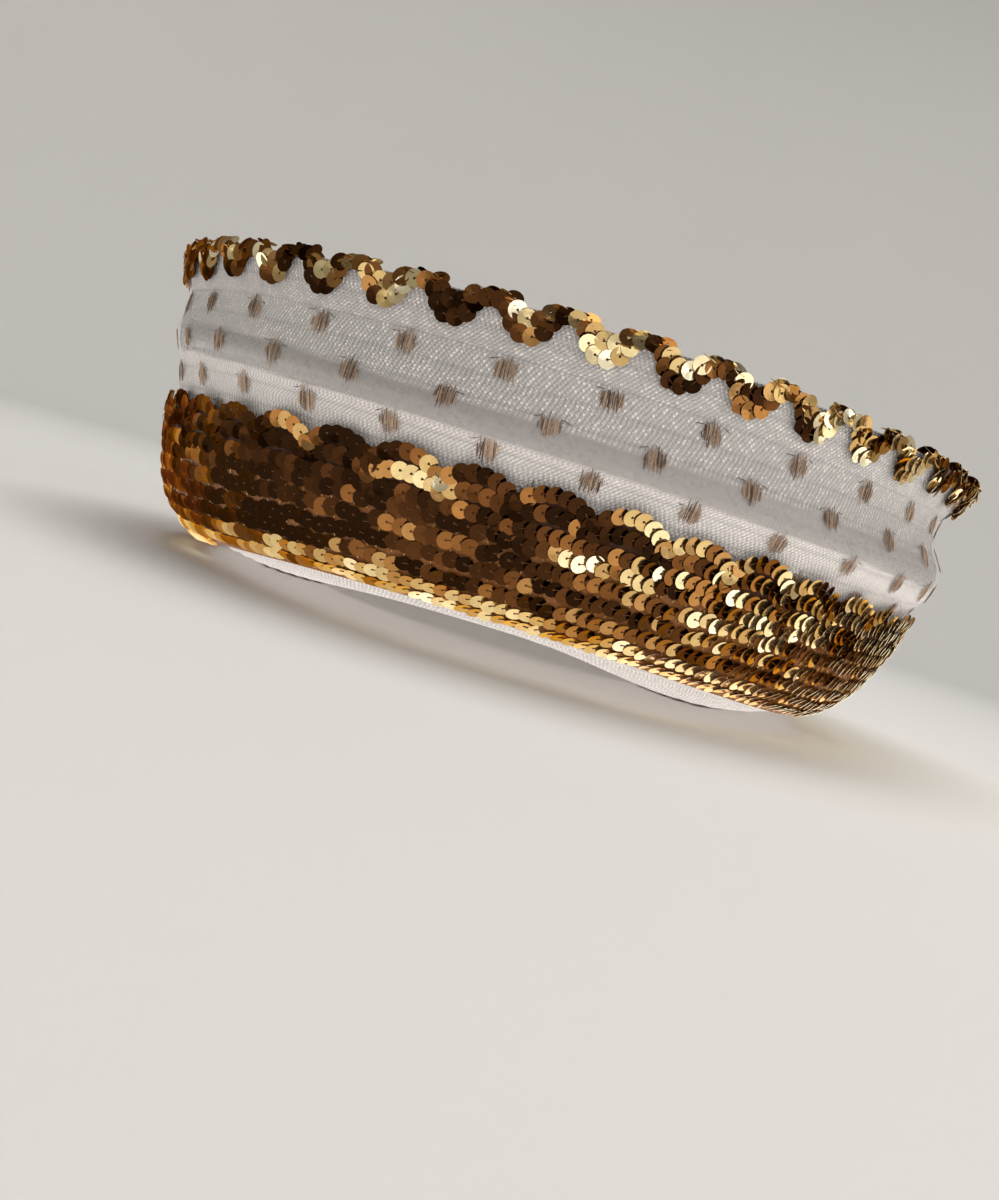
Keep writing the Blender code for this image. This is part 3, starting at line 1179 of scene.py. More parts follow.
@dataclass
class BraidBrim:
    """Upturned brim of braid rows: collar, underside, ridged wall and flared rim."""

    columns: int = 288
    under_row: float = 0.0068
    wall_row: float = 0.0095
    under_depth: float = 0.0015
    wall_depth: float = 0.0004
    inner_depth: float = 0.0003
    cell: float = 0.0022
    rim_round: int = 5
    bridge_start: float = 0.30
    bridge_over: float = 0.0055
    bridge_fade: float = 0.0008
    under_sharpness: float = 1.0
    wall_sharpness: float = 0.6
    rim_row: float = 0.12
    inner_row_start: float = 100.0
    stations: tuple[float, ...] = (0.0, 0.06, 0.18, 0.32, 0.46, 0.60, 0.74, 0.88)

    def _rows(self, form: HatForm, angles: np.ndarray) -> list[tuple[float, float, float]]:
        """Where the braid rows lie.

        Args:
            form: Form of the hat.
            angles: Angles of the columns.

        Returns:
            For each ring of points: its share of the way to the rim, its row number, and the
            seams' depth there.
        """
        total = float(form.rim(angles).mean())
        turn = float(form.ring("band_bottom", angles).mean())
        under = round(turn / self.under_row)
        upper = round((total - turn) / self.wall_row)
        found = []
        for row in range(under + upper):
            for station in self.stations:
                if row < under:
                    share = turn / total * (row + station) / under
                    found.append((share, row + station, self.under_depth))
                else:
                    share = (turn + (total - turn) * (row - under + station) / upper) / total
                    found.append((share, row + station, self.wall_depth))
        found.append((1.0, float(under + upper), self.wall_depth))
        return found

    def _mark_painted_light_zones(self, form: HatForm, mesh: bpy.types.Mesh, angles: np.ndarray,
                      shares: np.ndarray, count: int) -> None:
        """Marks where the braid's colour paints light and shade: the ridge band painted as shade, the
        wall over it painted dimmer, the underside with its seams painted darker, and the inside with its
        gaps painted lighter.

        Args:
            form: Form of the hat.
            mesh: The brim's mesh, columns of points one after another.
            angles: Angles of the columns.
            shares: Share of the way to the rim of each of a column's outer points.
            count: Number of points in a column.
        """
        distance = form.rim(angles)[:, None] * shares[None, :]
        below, ridge, bottom = (
            form.ring(name, angles)[:, None] for name in ("below_ridge", "ridge", "band_bottom"))
        low = below + (ridge - below) * self.bridge_start
        high = ridge + self.bridge_over
        within = np.minimum(
            (distance - low) / self.bridge_fade, (high - distance) / (self.bridge_fade * 3))

        def on_outside(values: np.ndarray) -> np.ndarray:
            """Values of the outer points, and 0 for the others."""
            spare = count - len(shares)
            return np.pad(np.clip(values, 0, 1), ((0, 0), (0, spare))).ravel()

        first_inside = len(shares) + self.rim_round
        inside = np.tile((np.arange(count) >= first_inside).astype(float), len(angles))
        # These masks carry the painted shade of the ridge band, the upper wall and the underside seams,
        # and the painted lift of the inside.
        mark_points(
            mesh, bridged=on_outside(within + 0.5), inside=inside,
            dimmed=on_outside((distance - ridge) / self.bridge_over),
            under=on_outside((bottom - distance) / self.bridge_over))

    def build(self, shop: Workshop) -> bpy.types.Object:
        """Makes the brim as one closed shell.

        Args:
            shop: What it is made with.

        Returns:
            The piece.
        """
        form = shop.form
        angles = angles_round(self.columns)
        wall = form.wall
        total = form.rim(angles)
        found = self._rows(form, angles)
        layers, rows = [], []
        for share, row, depth in found:
            sharpness = self.under_sharpness if depth == self.under_depth else self.wall_sharpness
            bulge = 1 - abs(math.sin(math.pi * row)) ** sharpness
            layers.append(form.at(angles, total * share, -depth * bulge)[0])
            rows.append(row)
        crest, normal, upward = form.rim_frame(angles, -wall / 2)
        for turn in np.linspace(0, math.pi, self.rim_round + 2)[1:-1]:
            layers.append(crest + (normal * math.cos(turn) + upward * math.sin(turn)) * wall / 2)
            rows.append(rows[-1] + self.rim_row)
        for share, row, _ in found[::-2]:
            bulge = 1 - abs(math.sin(math.pi * row)) ** self.wall_sharpness
            layers.append(form.at(angles, total * share, -wall + self.inner_depth * bulge)[0])
            rows.append(self.inner_row_start - row)
        rows.append(rows[-1] + 0.1)
        grid = np.stack(layers, axis=1)
        turns = cells_round(form, grid, self.cell)
        mesh = lofted("brim_braid", grid, turns, np.array(rows), closed=True)
        shares = np.array([share for share, _, _ in found])
        self._mark_painted_light_zones(form, mesh, angles, shares, len(layers))
        # The second colour is the painted shade in the gaps between strands.
        finish = BraidFinish(
            "white_braid", (1.0, 0.95, 0.91), (0.34, 0.30, 0.28), 3.7, 0.0010, roughness=0.32)
        piece = placed(mesh, finish.build(shop.effects), 40)
        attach(piece, "root")
        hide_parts("brim")
        return piece


@dataclass
class BraidCrown:
    """Low dome of braid rows over the head."""

    height: float = 0.118
    wall: float = 0.002
    clearance: float = 0.0023
    columns: int = 168
    samples: int = 84
    row_width: float = 0.0095
    seam_depth: float = 0.00045
    cell: float = 0.0026
    seam_sharpness: float = 0.4
    inner_row_start: float = 40.0
    length_unit: float = 0.095
    shares: tuple[tuple[float, float], ...] = (
        (0.00, 1.00), (0.25, 1.00), (0.50, 0.995), (0.70, 0.94), (0.84, 0.82), (0.94, 0.60),
        (0.985, 0.32), (1.00, 0.0))

    def _profile(self) -> tuple[np.ndarray, np.ndarray, np.ndarray]:
        """The dome's curve, evenly sampled.

        Returns:
            Distance along it, and its width and height as shares.
        """
        knots = np.array([(width, height) for height, width in self.shares])
        before, after = 2 * knots[0] - knots[1], knots[-2] * [-1, 1]
        padded = np.concatenate([[before], knots, [after]])
        line = [knots[0][None, :]]
        for i in range(len(knots) - 1):
            line.extend(spline_stretch(*[padded[i + n][None, :] for n in range(4)], 16))
        curve = np.concatenate(line)
        curve[:, 1] = np.minimum(curve[:, 1], 1.0)
        curve[-1] = (0.0, 1.0)
        steps = np.diff(curve * [self.length_unit, self.height], axis=0)
        lengths = np.concatenate([[0], np.cumsum(np.linalg.norm(steps, axis=1))])
        wanted = np.linspace(0, lengths[-1], self.samples)
        width, height = (np.interp(wanted, lengths, curve[:, axis]) for axis in (0, 1))
        return wanted, width, height

    def build(self, shop: Workshop) -> bpy.types.Object:
        """Makes the crown as one closed shell.

        Args:
            shop: What it is made with.

        Returns:
            The piece.
        """
        form = shop.form
        angles = angles_round(self.columns)
        head, edge = form.head_edge(angles)
        wanted, width, height = self._profile()
        low = edge + self.clearance
        top = self.clearance + self.height
        row_line = wanted / self.row_width
        bulge = 1 - np.abs(np.sin(math.pi * row_line)) ** self.seam_sharpness
        relief = self.seam_depth * bulge
        run, rise = np.gradient(width), np.gradient(height)
        slope = run / np.maximum(np.hypot(run, rise), 1e-9)
        layers, rows = [], []
        for i in [*range(self.samples), *range(self.samples - 1, -1, -1)]:
            inner = len(layers) >= self.samples
            back = self.wall if inner else relief[i]
            drawn_in = back * min(1.0, 1 + slope[i] * 0.5)
            radius = np.maximum((head + self.clearance + self.wall) * width[i] - drawn_in, 0.0)
            radius = np.zeros_like(head) if i == self.samples - 1 else radius
            z = low + (top - low) * height[i] - back * abs(slope[i])
            x, y = radius * np.cos(angles) + form.head_centre_x, radius * np.sin(angles)
            layers.append(np.stack([x, y, z], axis=1))
            rows.append(row_line[i] + (self.inner_row_start if inner else 0.0))
        rows.append(rows[-1] + 0.1)
        grid = np.stack(layers, axis=1)
        turns = np.maximum(cells_round(form, grid, self.cell), 3)
        mesh = lofted("crown_dome", grid, turns, np.array(rows), closed=True)
        weld(mesh)
        # The second colour is the painted shade in the gaps between strands.
        finish = BraidFinish(
            "crown_braid", (0.95, 0.92, 0.89), (0.58, 0.56, 0.54), 4.0, 0.0006, roughness=0.5)
        piece = placed(mesh, finish.build(shop.effects))
        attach(piece, "root")
        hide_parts("crown")
        return piece


@dataclass
class NetSleeve:
    """Sheer net stretched over the wall from under the band up to the rim."""

    lift: float = 0.0006
    thickness: float = 0.0002
    columns: int = 252
    samples: int = 48
    cell: float = 0.0014

    def build(self, shop: Workshop) -> bpy.types.Object:
        """Makes the net as one thin closed shell.

        Args:
            shop: What it is made with.

        Returns:
            The piece.
        """
        form = shop.form
        angles = angles_round(self.columns)
        start = form.ring("lower_wall", angles)
        end = form.rim(angles)
        shares = np.linspace(0, 1, self.samples)
        layers, rows = [], []
        height = float((end - start).mean())
        for lift, order in ((self.lift + self.thickness, shares), (self.lift, shares[::-1])):
            for share in order:
                points, _ = form.at(angles, start + (end - start) * share, lift)
                layers.append(points)
                rows.append(share * height / self.cell)
        rows.append(rows[0])
        turns = np.full(len(layers), round(TAU * form.width / 2 / self.cell))
        mesh = lofted("net_sleeve_cloth", np.stack(layers, axis=1), turns, np.array(rows), closed=True)
        piece = placed(mesh, NetFinish().build(shop.effects))
        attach(piece, "root")
        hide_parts("net_sleeve")
        return piece


@dataclass
class NetDots:
    """Rows of woven bronze dots on the net, each of upright threads with cut tails."""

    per_row: int = 30
    width: float = 0.0096
    height: float = 0.0092
    threads: int = 18
    thread_width: float = 0.00056
    lean: float = 0.08
    lift: float = 0.0012
    angle_stray: float = 0.0006
    level_stray: float = 0.0009
    lean_stray: float = 0.07
    length_range: tuple[float, float] = (0.70, 1.30)
    width_range: tuple[float, float] = (0.75, 1.15)
    # The darker thread tones are partly painted shade between the threads.
    thread_tones_with_shade: tuple[float, ...] = (0.05, 0.3, 0.6, 0.9)
    shortest: float = 0.15
    flatness: float = 0.6
    tails: tuple[tuple[int, float], ...] = ((-1, 0.85), (1, 0.6))
    tail_reach: tuple[float, float] = (0.0028, 0.0045)
    tail_rise: tuple[float, float] = (0.30, 0.46)
    tail_lean: tuple[float, float] = (1.1, 1.6)
    tail_place: float = 0.42
    tail_width: float = 0.62
    probe_step: float = 0.002
    rows: tuple[tuple[float, float], ...] = (
        (0.122, 4.5), (0.1048, -1.1), (0.0893, 5.0), (0.0755, -1.1))

    def _distance(self, form: HatForm, angles: np.ndarray, height: float) -> np.ndarray:
        """Distances along the face for a row that runs level with the rim.

        Args:
            form: Form of the hat.
            angles: Angles of the dots.
            height: Height of the row at the near side.

        Returns:
            Distance of each dot.
        """
        side, samples, lower_wall = -math.pi / 2, 400, 150
        total = float(form.rim(np.array([side]))[0])
        probe = np.linspace(0, 1, samples) * total
        points, _ = form.at(np.full(samples, side), probe)
        fall = total - float(np.interp(height, points[lower_wall:, 2], probe[lower_wall:]))
        return form.rim(angles) - fall

    def build(self, shop: Workshop) -> bpy.types.Object:
        """Makes all the dots as one piece.

        Args:
            shop: What it is made with.

        Returns:
            The piece.
        """
        form = shop.form
        chance = np.random.default_rng(11)
        radius = form.width / 2
        threads = []
        for height, phase in self.rows:
            centres = np.radians(-90 + phase + np.arange(self.per_row) * 360 / self.per_row)
            for centre, level in zip(centres, self._distance(form, centres, height)):
                for i in range(self.threads):
                    share = (i + 0.5) / self.threads * 2 - 1
                    chord = self.height * math.sqrt(max(self.shortest, 1 - share ** 2))
                    threads.append((
                        centre + share * self.width / 2 / radius + chance.normal(0, self.angle_stray),
                        level + chance.normal(0, self.level_stray),
                        chord * chance.uniform(*self.length_range),
                        chance.normal(self.lean, self.lean_stray),
                        chance.choice(self.thread_tones_with_shade),
                        self.thread_width * chance.uniform(*self.width_range)))
                for side, chances in self.tails:
                    if chance.uniform() < chances:
                        reach = chance.uniform(*self.tail_reach)
                        threads.append((
                            centre + side * (self.width * self.tail_place + reach / 2) / radius,
                            level + self.height * chance.uniform(*self.tail_rise),
                            reach, side * chance.uniform(*self.tail_lean), 0.0,
                            self.thread_width * self.tail_width))
        angles, distances, lengths, leans, tones, widths = np.array(threads).T
        points, normals = form.at(angles, distances, self.lift)
        ahead, _ = form.at(angles + self.probe_step, distances, self.lift)
        across = unit(ahead - points)
        upward = np.cross(normals, across)
        runs = across * np.cos(leans)[:, None] + upward * np.sin(leans)[:, None]
        sizes = np.stack([widths, lengths, widths * self.flatness], axis=1)
        spots = Spots(points, normals, runs, tones, sizes)
        # The dark end of this finish is partly painted shade between threads.
        finish = ThreadFinish("gold_thread", (0.060, 0.034, 0.021), (0.40, 0.28, 0.19), 0.3, 0.36)
        shape = ThreadShape(bow=0.35).build()
        piece = shop.lay("net_dots", spots, shape, finish, lean=Lean(tilt_spread=2.0))
        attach(piece, "root")
        return piece


@dataclass
class SequinBand:
    """Rows of shingled sequins sewn to a dark band round the lower wall."""

    sequin: float = 0.008
    pitch: float = 0.0054
    row_pitch: float = 0.0081
    top_margin: float = 0.0045
    bottom_margin: float = 0.0035
    lift: float = 0.0036
    seat: float = 0.0016
    backing: float = 0.0008
    columns: int = 252
    ripple: float = 0.0004
    lean: Lean = Lean(13.0, 8.0, 16.0, 3)
    stray_along: float = 0.7
    stitch_rows: int = 6
    stitch_lift: float = 0.0006
    stitch_width: float = 0.0005
    stitch_lengths: tuple[float, float] = (0.0008, 0.0022)
    stitch_stray: float = 0.0012
    stitch_lean: Lean = Lean(0.0, 8.0, 30.0, 4)
    # Painted reflection: the tones brighten towards the back, the middle rows are darker for dim
    # surroundings and the lower rows are bright for the floor below them.
    tone_slopes: tuple[float, ...] = (2.8, 3.4, 3.4, 3.2, 2.6, 1.2, 0.4, 0.2)
    unevenness: tuple[float, ...] = (0.9, 0.9, 0.8, 0.6, 0.4, 0.35, 0.35, 0.35)
    tones: tuple[Tones, ...] = (
        Tones.TRIM, Tones.MIXED, Tones.DARK, Tones.MIXED,
        Tones.BRIGHT, Tones.BRIGHT, Tones.BRIGHT, Tones.BRIGHT)

    def _row_line(self, form: HatForm, row: float, lift: float) -> Line:
        """Line of a row, or of a groove half a row on, counted down from the band's top edge.

        Args:
            form: Form of the hat.
            row: Number of the row.
            lift: How far the line lies off the braid.

        Returns:
            Gives points and normals at angles.
        """
        def line(angle: np.ndarray) -> Faced:
            """Points and normals at angles."""
            distance = form.band_edge(angle) - self.top_margin - self.row_pitch * row
            return form.at(angle, distance, lift)
        return line

    def rows(self, form: HatForm) -> list[Spots]:
        """Places of the sequins; a lower row runs only where the band has room for it.

        Args:
            form: Form of the hat.

        Returns:
            The places of each row.
        """
        chance = np.random.default_rng(5)
        probe = np.linspace(0, TAU, 721)[:-1]
        room = form.band_edge(probe) - form.ring("band_bottom", probe)
        found = []
        for row, tones in enumerate(self.tones):
            line = self._row_line(form, row, self.lift)
            open_here = room - self.top_margin - self.row_pitch * row > self.bottom_margin
            if not open_here.any():
                break
            if open_here.all():
                spots = even_spots(line, self.pitch)
            else:
                half = probe[open_here]
                spots = even_spots(line, self.pitch, half.min(), half.max(), closed=False)
            count = len(spots.points)
            stray = self.unevenness[row] * MM
            upward = np.cross(spots.normals, spots.runs)
            for way, share in ((spots.runs, self.stray_along), (upward, 1.0)):
                spots.points = spots.points + way * chance.normal(0, stray * share, (count, 1))
            # Painted reflection: each row's tones, brighter towards the back.
            spots.tones = tones.draw(chance, spots.points, slope=self.tone_slopes[row])
            found.append(spots)
        return found

    def _backing(self, shop: Workshop) -> bpy.types.Object:
        """Dark band under the sequins, with a groove between rows.

        Args:
            shop: What it is made with.

        Returns:
            The piece.
        """
        form = shop.form
        angles = angles_round(self.columns)
        bottom, top = form.ring("band_bottom", angles), form.band_edge(angles)
        shares = np.linspace(0, 1, 41)
        layers = []
        for share in shares:
            distance = bottom + (top - bottom) * share
            wave = np.cos(TAU * (top - self.top_margin - distance) / self.row_pitch)
            lift = self.seat + self.backing + self.ripple + self.ripple * wave
            layers.append(form.at(angles, distance, lift)[0])
        for share in shares[::-1]:
            layers.append(form.at(angles, bottom + (top - bottom) * share, self.seat)[0])
        piece = shop.shell("band_backing", layers, ThreadFinish(
            "brown_backing", (0.16, 0.058, 0.012), (0.50, 0.21, 0.05), 0.0, 0.6, twist_scale=500.0))
        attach(piece, "root")
        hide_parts("sequin_band")
        return piece

    def build(self, shop: Workshop) -> list[bpy.types.Object]:
        """Makes the backing, the sequins, their threads and the stitches between rows.

        Args:
            shop: What they are made with.

        Returns:
            The pieces.
        """
        spots = Spots.joined(self.rows(shop.form))
        sequins = shop.sequins("band_sequins", spots, "gold_sequins", self.sequin, self.lean)
        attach(sequins, "root")
        threads = sequin_threads("band_sequin_threads", shop, spots, self.sequin, self.lean)
        stitches = self._stitches(shop)
        return [self._backing(shop), sequins, threads, stitches]

    def _stitches(self, shop: Workshop) -> bpy.types.Object:
        """Short gold stitches in the grooves between rows.

        Args:
            shop: What they are made with.

        Returns:
            The piece.
        """
        chance = np.random.default_rng(8)
        grooves = []
        for row in range(self.stitch_rows):
            lift = self.seat + self.backing + self.stitch_lift
            groove = even_spots(self._row_line(shop.form, row + 0.5, lift), self.pitch)
            count = len(groove.points)
            groove.tones = chance.uniform(0.0, 1.0, count)
            stray = chance.normal(0, self.stitch_stray, (count, 1))
            groove.points = groove.points + groove.runs * stray
            lengths = chance.uniform(*self.stitch_lengths, count)
            width = np.full(count, self.stitch_width)
            groove.sizes = np.stack([width, lengths, width], axis=1)
            grooves.append(groove)
        finish = ThreadFinish("gold_stitches", (0.26, 0.12, 0.035), (0.62, 0.40, 0.16), 0.4, 0.4)
        piece = shop.lay("band_stitches", Spots.joined(grooves), ThreadShape(bow=0.4).build(), finish,
                         lean=self.stitch_lean)
        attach(piece, "root")
        return piece


def sequin_threads(name: str, shop: Workshop, spots: Spots, sequin: float,
                   lean: Lean) -> bpy.types.Object:
    """Dark thread from each sequin's hole to the edge under its neighbour; its dark colour is partly the
    thread's own and partly painted shadow under the neighbour.

    Args:
        name: Name of the piece.
        shop: What it is made with.
        spots: Places of the sequins.
        sequin: Diameter of a sequin.
        lean: Lean of the sequins, with their seed, so that the threads lie on them.

    Returns:
        The piece.
    """
    width, thickness, height, dish_slope, tone = 0.055, 0.045, 0.022, 0.075, 0.25
    shape = ThreadShape(bow=0.0, stations=2, along_x=True, start=-0.04, end=0.47).build()
    for vertex in shape.vertices:
        vertex.co.y *= width
        vertex.co.z = vertex.co.z * thickness + height + max(vertex.co.x, 0.0) * dish_slope
    # Thread colour, partly painted shadow under the neighbouring sequin.
    finish = ThreadFinish("brown_thread", (0.065, 0.024, 0.007), (0.25, 0.10, 0.028), 0.1, 0.5)
    tones = np.full(len(spots.points), tone)
    laid = Spots(spots.points, spots.normals, spots.runs, tones)
    piece = shop.lay(name, laid, shape, finish, sequin, lean)
    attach(piece, "root")
    return piece


def strung(lines: Sequence[Line], pitch: float, seed: int, tones: Tones, hold: float,
           slope: float) -> Spots:
    """Places of sequins strung along lines right round the hat.

    Args:
        lines: Each gives points and normals at angles.
        pitch: Spacing of the sequins.
        seed: Seed of their tones.
        tones: How bright they are.
        hold: How much each keeps of its neighbour's tone.
        slope: How much brighter they get towards the back, a metre, as painted reflection.

    Returns:
        The places.
    """
    chance = np.random.default_rng(seed)
    strands = []
    for line in lines:
        strand = even_spots(line, pitch)
        strand.tones = tones.draw(chance, strand.points, hold=hold, slope=slope)
        strands.append(strand)
    return Spots.joined(strands)


def tape_finish(name: str) -> ThreadFinish:
    """Finish of the dark tapes that the trims are sewn to."""
    return ThreadFinish(name, (0.050, 0.018, 0.006), (0.20, 0.08, 0.024), 0.0, 0.6, twist_scale=500.0)


@dataclass
class Lobes:
    """Round lobes of a trim, uneven in height."""

    count: int
    first: float
    unevenness: float
    seed: int

    def wave(self, angle: np.ndarray, power: float) -> np.ndarray:
        """1 at the middle of a lobe and 0 between lobes, times each lobe's own height.

        Args:
            angle: Angles round the hat.
            power: Below 1 for fuller lobes with sharper notches.

        Returns:
            Height of the lobes at the angles.
        """
        place = (np.asarray(angle) - self.first) / TAU * self.count + 0.5
        index = np.floor(place).astype(int) % self.count
        heights = np.random.default_rng(self.seed).normal(1.0, self.unevenness, self.count)
        inside = np.abs(np.sin(math.pi * (place - np.floor(place))))
        return heights[index] * inside ** power


@dataclass
class BandTrim:
    """Lobed strings of sequins standing on the band's top edge."""

    lobes: Lobes = field(default_factory=lambda: Lobes(40, math.radians(-87.8), 0.08, 21))
    sequin: float = 0.008
    pitch: float = 0.0052
    lift: float = 0.0038
    strands: tuple[tuple[float, float, float], ...] = (
        (0.0008, 0.0012, 0.0), (0.0052, 0.0054, 0.0004), (0.0093, 0.0102, 0.0010))
    power: float = 0.55
    lean: Lean = Lean(12.0, 9.0, 12.0, 6)
    tape_lifts: tuple[float, float] = (0.0026, 0.0017)
    tape_points: int = 7
    tape_columns: int = 12

    def _line(self, form: HatForm, base: float, swing: float, extra: float) -> Line:
        """Line of a strand.

        Args:
            form: Form of the hat.
            base: Its distance above the band's top edge between lobes.
            swing: How much higher it goes in a lobe.
            extra: How far it lies off the first strand's face.

        Returns:
            Gives points and normals at angles.
        """
        def line(angle: np.ndarray) -> Faced:
            """Points and normals at angles."""
            distance = form.band_edge(angle) + base + swing * self.lobes.wave(angle, self.power)
            return form.at(angle, distance, self.lift + extra)
        return line

    def build(self, shop: Workshop) -> list[bpy.types.Object]:
        """Makes the tape, the sequins and their threads.

        Args:
            shop: What they are made with.

        Returns:
            The pieces.
        """
        lines = [self._line(shop.form, *strand) for strand in self.strands]
        # Painted reflection: the tones brighten towards the back.
        spots = strung(lines, self.pitch, 17, Tones.TRIM, hold=0.6, slope=2.0)
        sequins = shop.sequins("band_trim_sequins", spots, "gold_trim_sequins", self.sequin, self.lean)
        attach(sequins, "root")
        threads = sequin_threads("band_trim_threads", shop, spots, self.sequin, self.lean)
        return [self._tape(shop), sequins, threads]

    def _tape(self, shop: Workshop) -> bpy.types.Object:
        """Dark tape that the strings are sewn to.

        Args:
            shop: What it is made with.

        Returns:
            The piece.
        """
        form = shop.form
        angles = angles_round(self.lobes.count * self.tape_columns)
        low = form.band_edge(angles)
        base, swing, _ = self.strands[-1]
        high = low + base + swing * self.lobes.wave(angles, self.power)
        layers = []
        for lift, side in zip(self.tape_lifts, (0, 1)):
            for share in np.linspace(side, 1 - side, self.tape_points):
                layers.append(form.at(angles, low + (high - low) * share, lift)[0])
        piece = shop.shell("band_trim_tape", layers, tape_finish("brown_trim_tape"))
        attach(piece, "root")
        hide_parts("band_trim")
        return piece


@dataclass
class RimTrim:
    """Zigzag string of sequins over the rim, its lobes outside and inside in turn."""

    count: int = 42
    first: float = math.radians(-87.8)
    middle: float = -0.0063
    swing: float = 0.0058
    strand_offset: float = 0.0033
    sequin: float = 0.008
    pitch: float = 0.0053
    lift: float = 0.0018
    net_lift: float = 0.0012
    flatness: float = 1.5
    lean: Lean = Lean(12.0, 9.0, 12.0, 9)
    unevenness: float = 0.12
    tape_lifts: tuple[float, float] = (0.0011, 0.0004)
    tape_margin: float = 0.001
    tape_points: int = 7
    tape_columns: int = 16

    def _reach(self, angle: np.ndarray, offset: float) -> np.ndarray:
        """Distance over the rim of a line beside the zigzag's middle.

        Args:
            angle: Angles round the hat.
            offset: How far beside the middle the line runs.

        Returns:
            Distance at each angle.
        """
        heights = np.random.default_rng(31).normal(1.0, self.unevenness, 2 * self.count)
        place = (np.asarray(angle) - self.first) / TAU * self.count + 0.25
        index = np.floor(place * 2).astype(int) % (2 * self.count)
        wave = np.tanh(self.flatness * np.cos(TAU * (place - 0.25))) / math.tanh(self.flatness)
        return self.middle - self.swing * wave * heights[index] + offset

    def _line(self, form: HatForm, offset: float, lift: float) -> Line:
        """Line over the rim, beside the zigzag's middle."""
        return lambda angle: form.over_rim(angle, self._reach(angle, offset), lift, self.net_lift)

    def build(self, shop: Workshop) -> list[bpy.types.Object]:
        """Makes the tape, the sequins and their threads.

        Args:
            shop: What they are made with.

        Returns:
            The pieces.
        """
        offsets = (-self.strand_offset, self.strand_offset)
        lines = [self._line(shop.form, offset, self.lift) for offset in offsets]
        # Painted reflection: the tones brighten towards the back.
        spots = strung(lines, self.pitch, 23, Tones.RIM, hold=0.5, slope=0.7)
        sequins = shop.sequins("rim_trim_sequins", spots, "gold_rim_sequins", self.sequin, self.lean)
        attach(sequins, "root")
        threads = sequin_threads("rim_trim_threads", shop, spots, self.sequin, self.lean)
        return [self._tape(shop), sequins, threads]

    def _tape(self, shop: Workshop) -> bpy.types.Object:
        """Dark zigzag tape that the strings are sewn to.

        Args:
            shop: What it is made with.

        Returns:
            The piece.
        """
        angles = angles_round(self.count * self.tape_columns)
        edge = self.strand_offset + self.tape_margin
        layers = []
        for lift, side in zip(self.tape_lifts, (edge, -edge)):
            for offset in np.linspace(side, -side, self.tape_points):
                layers.append(self._line(shop.form, offset, lift)(angles)[0])
        piece = shop.shell("rim_trim_tape", layers, tape_finish("brown_rim_tape"))
        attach(piece, "root")
        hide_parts("rim_trim")
        return piece


# Studio

class Lamp(NamedTuple):
    """A soft light: where it stands, where it points, its width and height, and its watts."""

    name: str
    place: tuple[float, float, float]
    aim: tuple[float, float, float]
    size: tuple[float, float]
    power: float


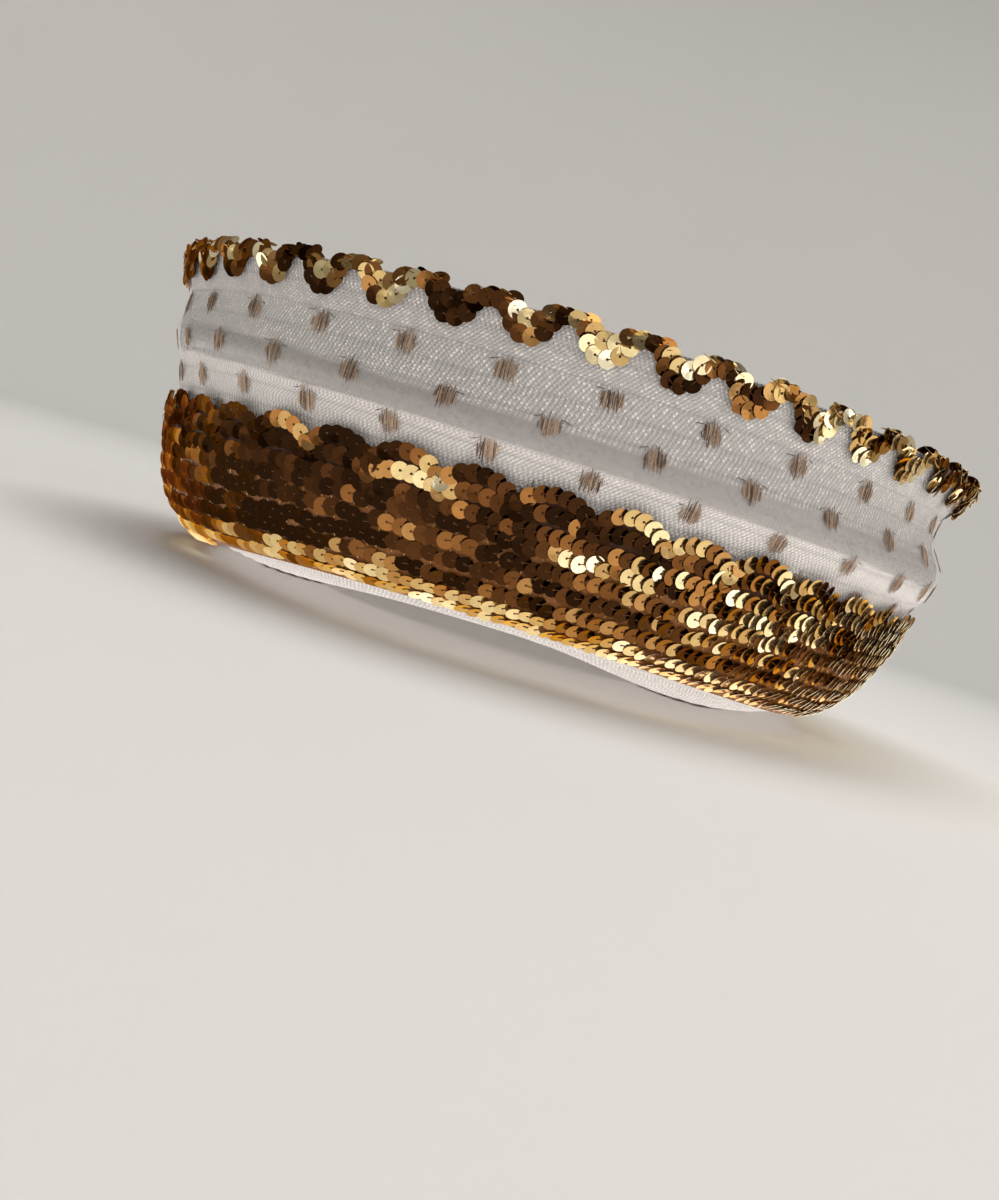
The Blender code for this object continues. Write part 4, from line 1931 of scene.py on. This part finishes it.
@dataclass
class Studio:
    """Pale seamless floor, soft lights and the camera."""

    floor_radius: float = 1.7
    wall_height: float = 2.6
    camera_place: tuple[float, float, float] = (-0.00685, -0.77, 0.071)
    pitch: float = 3.97
    roll: float = 17.0
    focal_pixels: float = 1378.0
    image_height: float = 1200.0
    sensor: float = 36.0
    floor_bend: float = 0.7
    floor_columns: int = 96
    warm: Colour = (1.0, 0.965, 0.93)
    lamps: tuple[Lamp, ...] = (
        Lamp("overhead", (0.0, 0.25, 2.3), (0.0, 0.25, 0.0), (2.0, 1.5), 25.0),
        Lamp("side", (1.5, -0.75, 0.55), (0.15, 0.0, 0.05), (1.2, 1.2), 9.0),
        Lamp("front", (0.3, -1.5, 0.5), (0.0, 0.0, 0.06), (1.6, 1.0), 5.5),
        Lamp("low", (0.0, 0.0, 0.0012), (0.0, 0.0, 1.0), (1.2, 1.2), 3.9),
    )

    def floor(self, effects: SharedEffects) -> bpy.types.Object:
        """Round floor that curves up into a wall all round.

        Args:
            effects: The shared node groups.

        Returns:
            The floor.
        """
        edge, bend = self.floor_radius, self.floor_bend
        line = [(r, 0.0) for r in np.linspace(0.0, edge, 18)]
        for t in np.linspace(0, math.pi / 2, 14)[1:]:
            line.append((edge + bend * math.sin(t), bend - bend * math.cos(t)))
        line += [(edge + bend, h) for h in np.linspace(bend, self.wall_height, 5)[1:]]
        angles = angles_round(self.floor_columns)
        rings = [np.stack([r * np.cos(angles), r * np.sin(angles), 0 * angles + h], axis=1)
                 for r, h in line]
        rows = np.arange(len(line)) * 1.0
        turns = np.ones(len(line) - 1)
        mesh = lofted("pale_floor", np.stack(rings, axis=1), turns, rows, closed=False)
        weld(mesh)
        with edited(mesh) as shape:
            bmesh.ops.reverse_faces(shape, faces=shape.faces)
        piece = placed(mesh, FloorFinish().build(effects))
        return piece

    def light(self, lamp: Lamp) -> bpy.types.Object:
        """Stands up a lamp.

        Args:
            lamp: The lamp.

        Returns:
            The light.
        """
        data = bpy.data.lights.new(lamp.name, "AREA")
        data.shape = "RECTANGLE"
        data.size, data.size_y = lamp.size
        data.energy = lamp.power
        data.color = self.warm
        item = bpy.data.objects.new(lamp.name, data)
        item.location = lamp.place
        item.rotation_euler = (Vector(lamp.aim) - Vector(lamp.place)).to_track_quat("-Z", "Y").to_euler()
        bpy.context.scene.collection.objects.link(item)
        return item

    def lights(self) -> None:
        """Lights the hat from above, its side and front, and from a disc on the floor under it."""
        overhead, _, _, low = [self.light(lamp) for lamp in self.lamps]
        overhead.data.spread = math.radians(150)
        low.data.shape = "ELLIPSE"
        low.visible_camera = False
        world = bpy.data.worlds.new("surround")
        world.use_nodes = True
        background = world.node_tree.nodes["Background"]
        background.inputs[0].default_value = (0.75, 0.77, 0.80, 1.0)
        background.inputs[1].default_value = 0.20
        bpy.context.scene.world = world
        bpy.context.scene.view_settings.view_transform = "Standard"

    def camera(self) -> bpy.types.Object:
        """Camera at the photograph's angle, rolled as it was held.

        Returns:
            The camera.
        """
        data = bpy.data.cameras.new("view")
        data.sensor_width = self.sensor
        data.lens = self.focal_pixels / self.image_height * self.sensor
        data.clip_start = 0.01
        item = bpy.data.objects.new("view", data)
        pitch, roll = math.radians(self.pitch), math.radians(self.roll)
        forward = Vector((0, math.cos(pitch), -math.sin(pitch)))
        level_up = Vector((0, math.sin(pitch), math.cos(pitch)))
        level_right = Vector((1, 0, 0))
        up = level_up * math.cos(roll) - level_right * math.sin(roll)
        right = level_right * math.cos(roll) + level_up * math.sin(roll)
        matrix = Matrix((right, up, -forward)).transposed().to_4x4()
        matrix.translation = Vector(self.camera_place)
        item.matrix_world = matrix
        bpy.context.scene.collection.objects.link(item)
        bpy.context.scene.camera = item
        return item


def report(pieces: Sequence[bpy.types.Object]) -> None:
    """Logs each piece and its triangles.

    Args:
        pieces: The pieces.
    """
    for piece in pieces:
        triangles = sum(len(face.vertices) - 2 for face in piece.data.polygons)
        LOG.info("%s: %d triangles", piece.name, triangles)


def main() -> None:
    """Builds the hat and the studio round it."""
    logging.basicConfig(level=logging.INFO, format="%(name)s %(message)s")
    shop = Workshop(HatForm(), SharedEffects(), LayingTree())
    studio = Studio()
    studio.camera()
    studio.lights()
    studio.floor(shop.effects)
    brim = BraidBrim().build(shop)
    crown = BraidCrown().build(shop)
    net = NetSleeve().build(shop)
    dots = NetDots().build(shop)
    report([brim, crown, net, dots])
    report(SequinBand().build(shop))
    report(BandTrim().build(shop))
    report(RimTrim().build(shop))


if __name__ == "__main__":
    main()
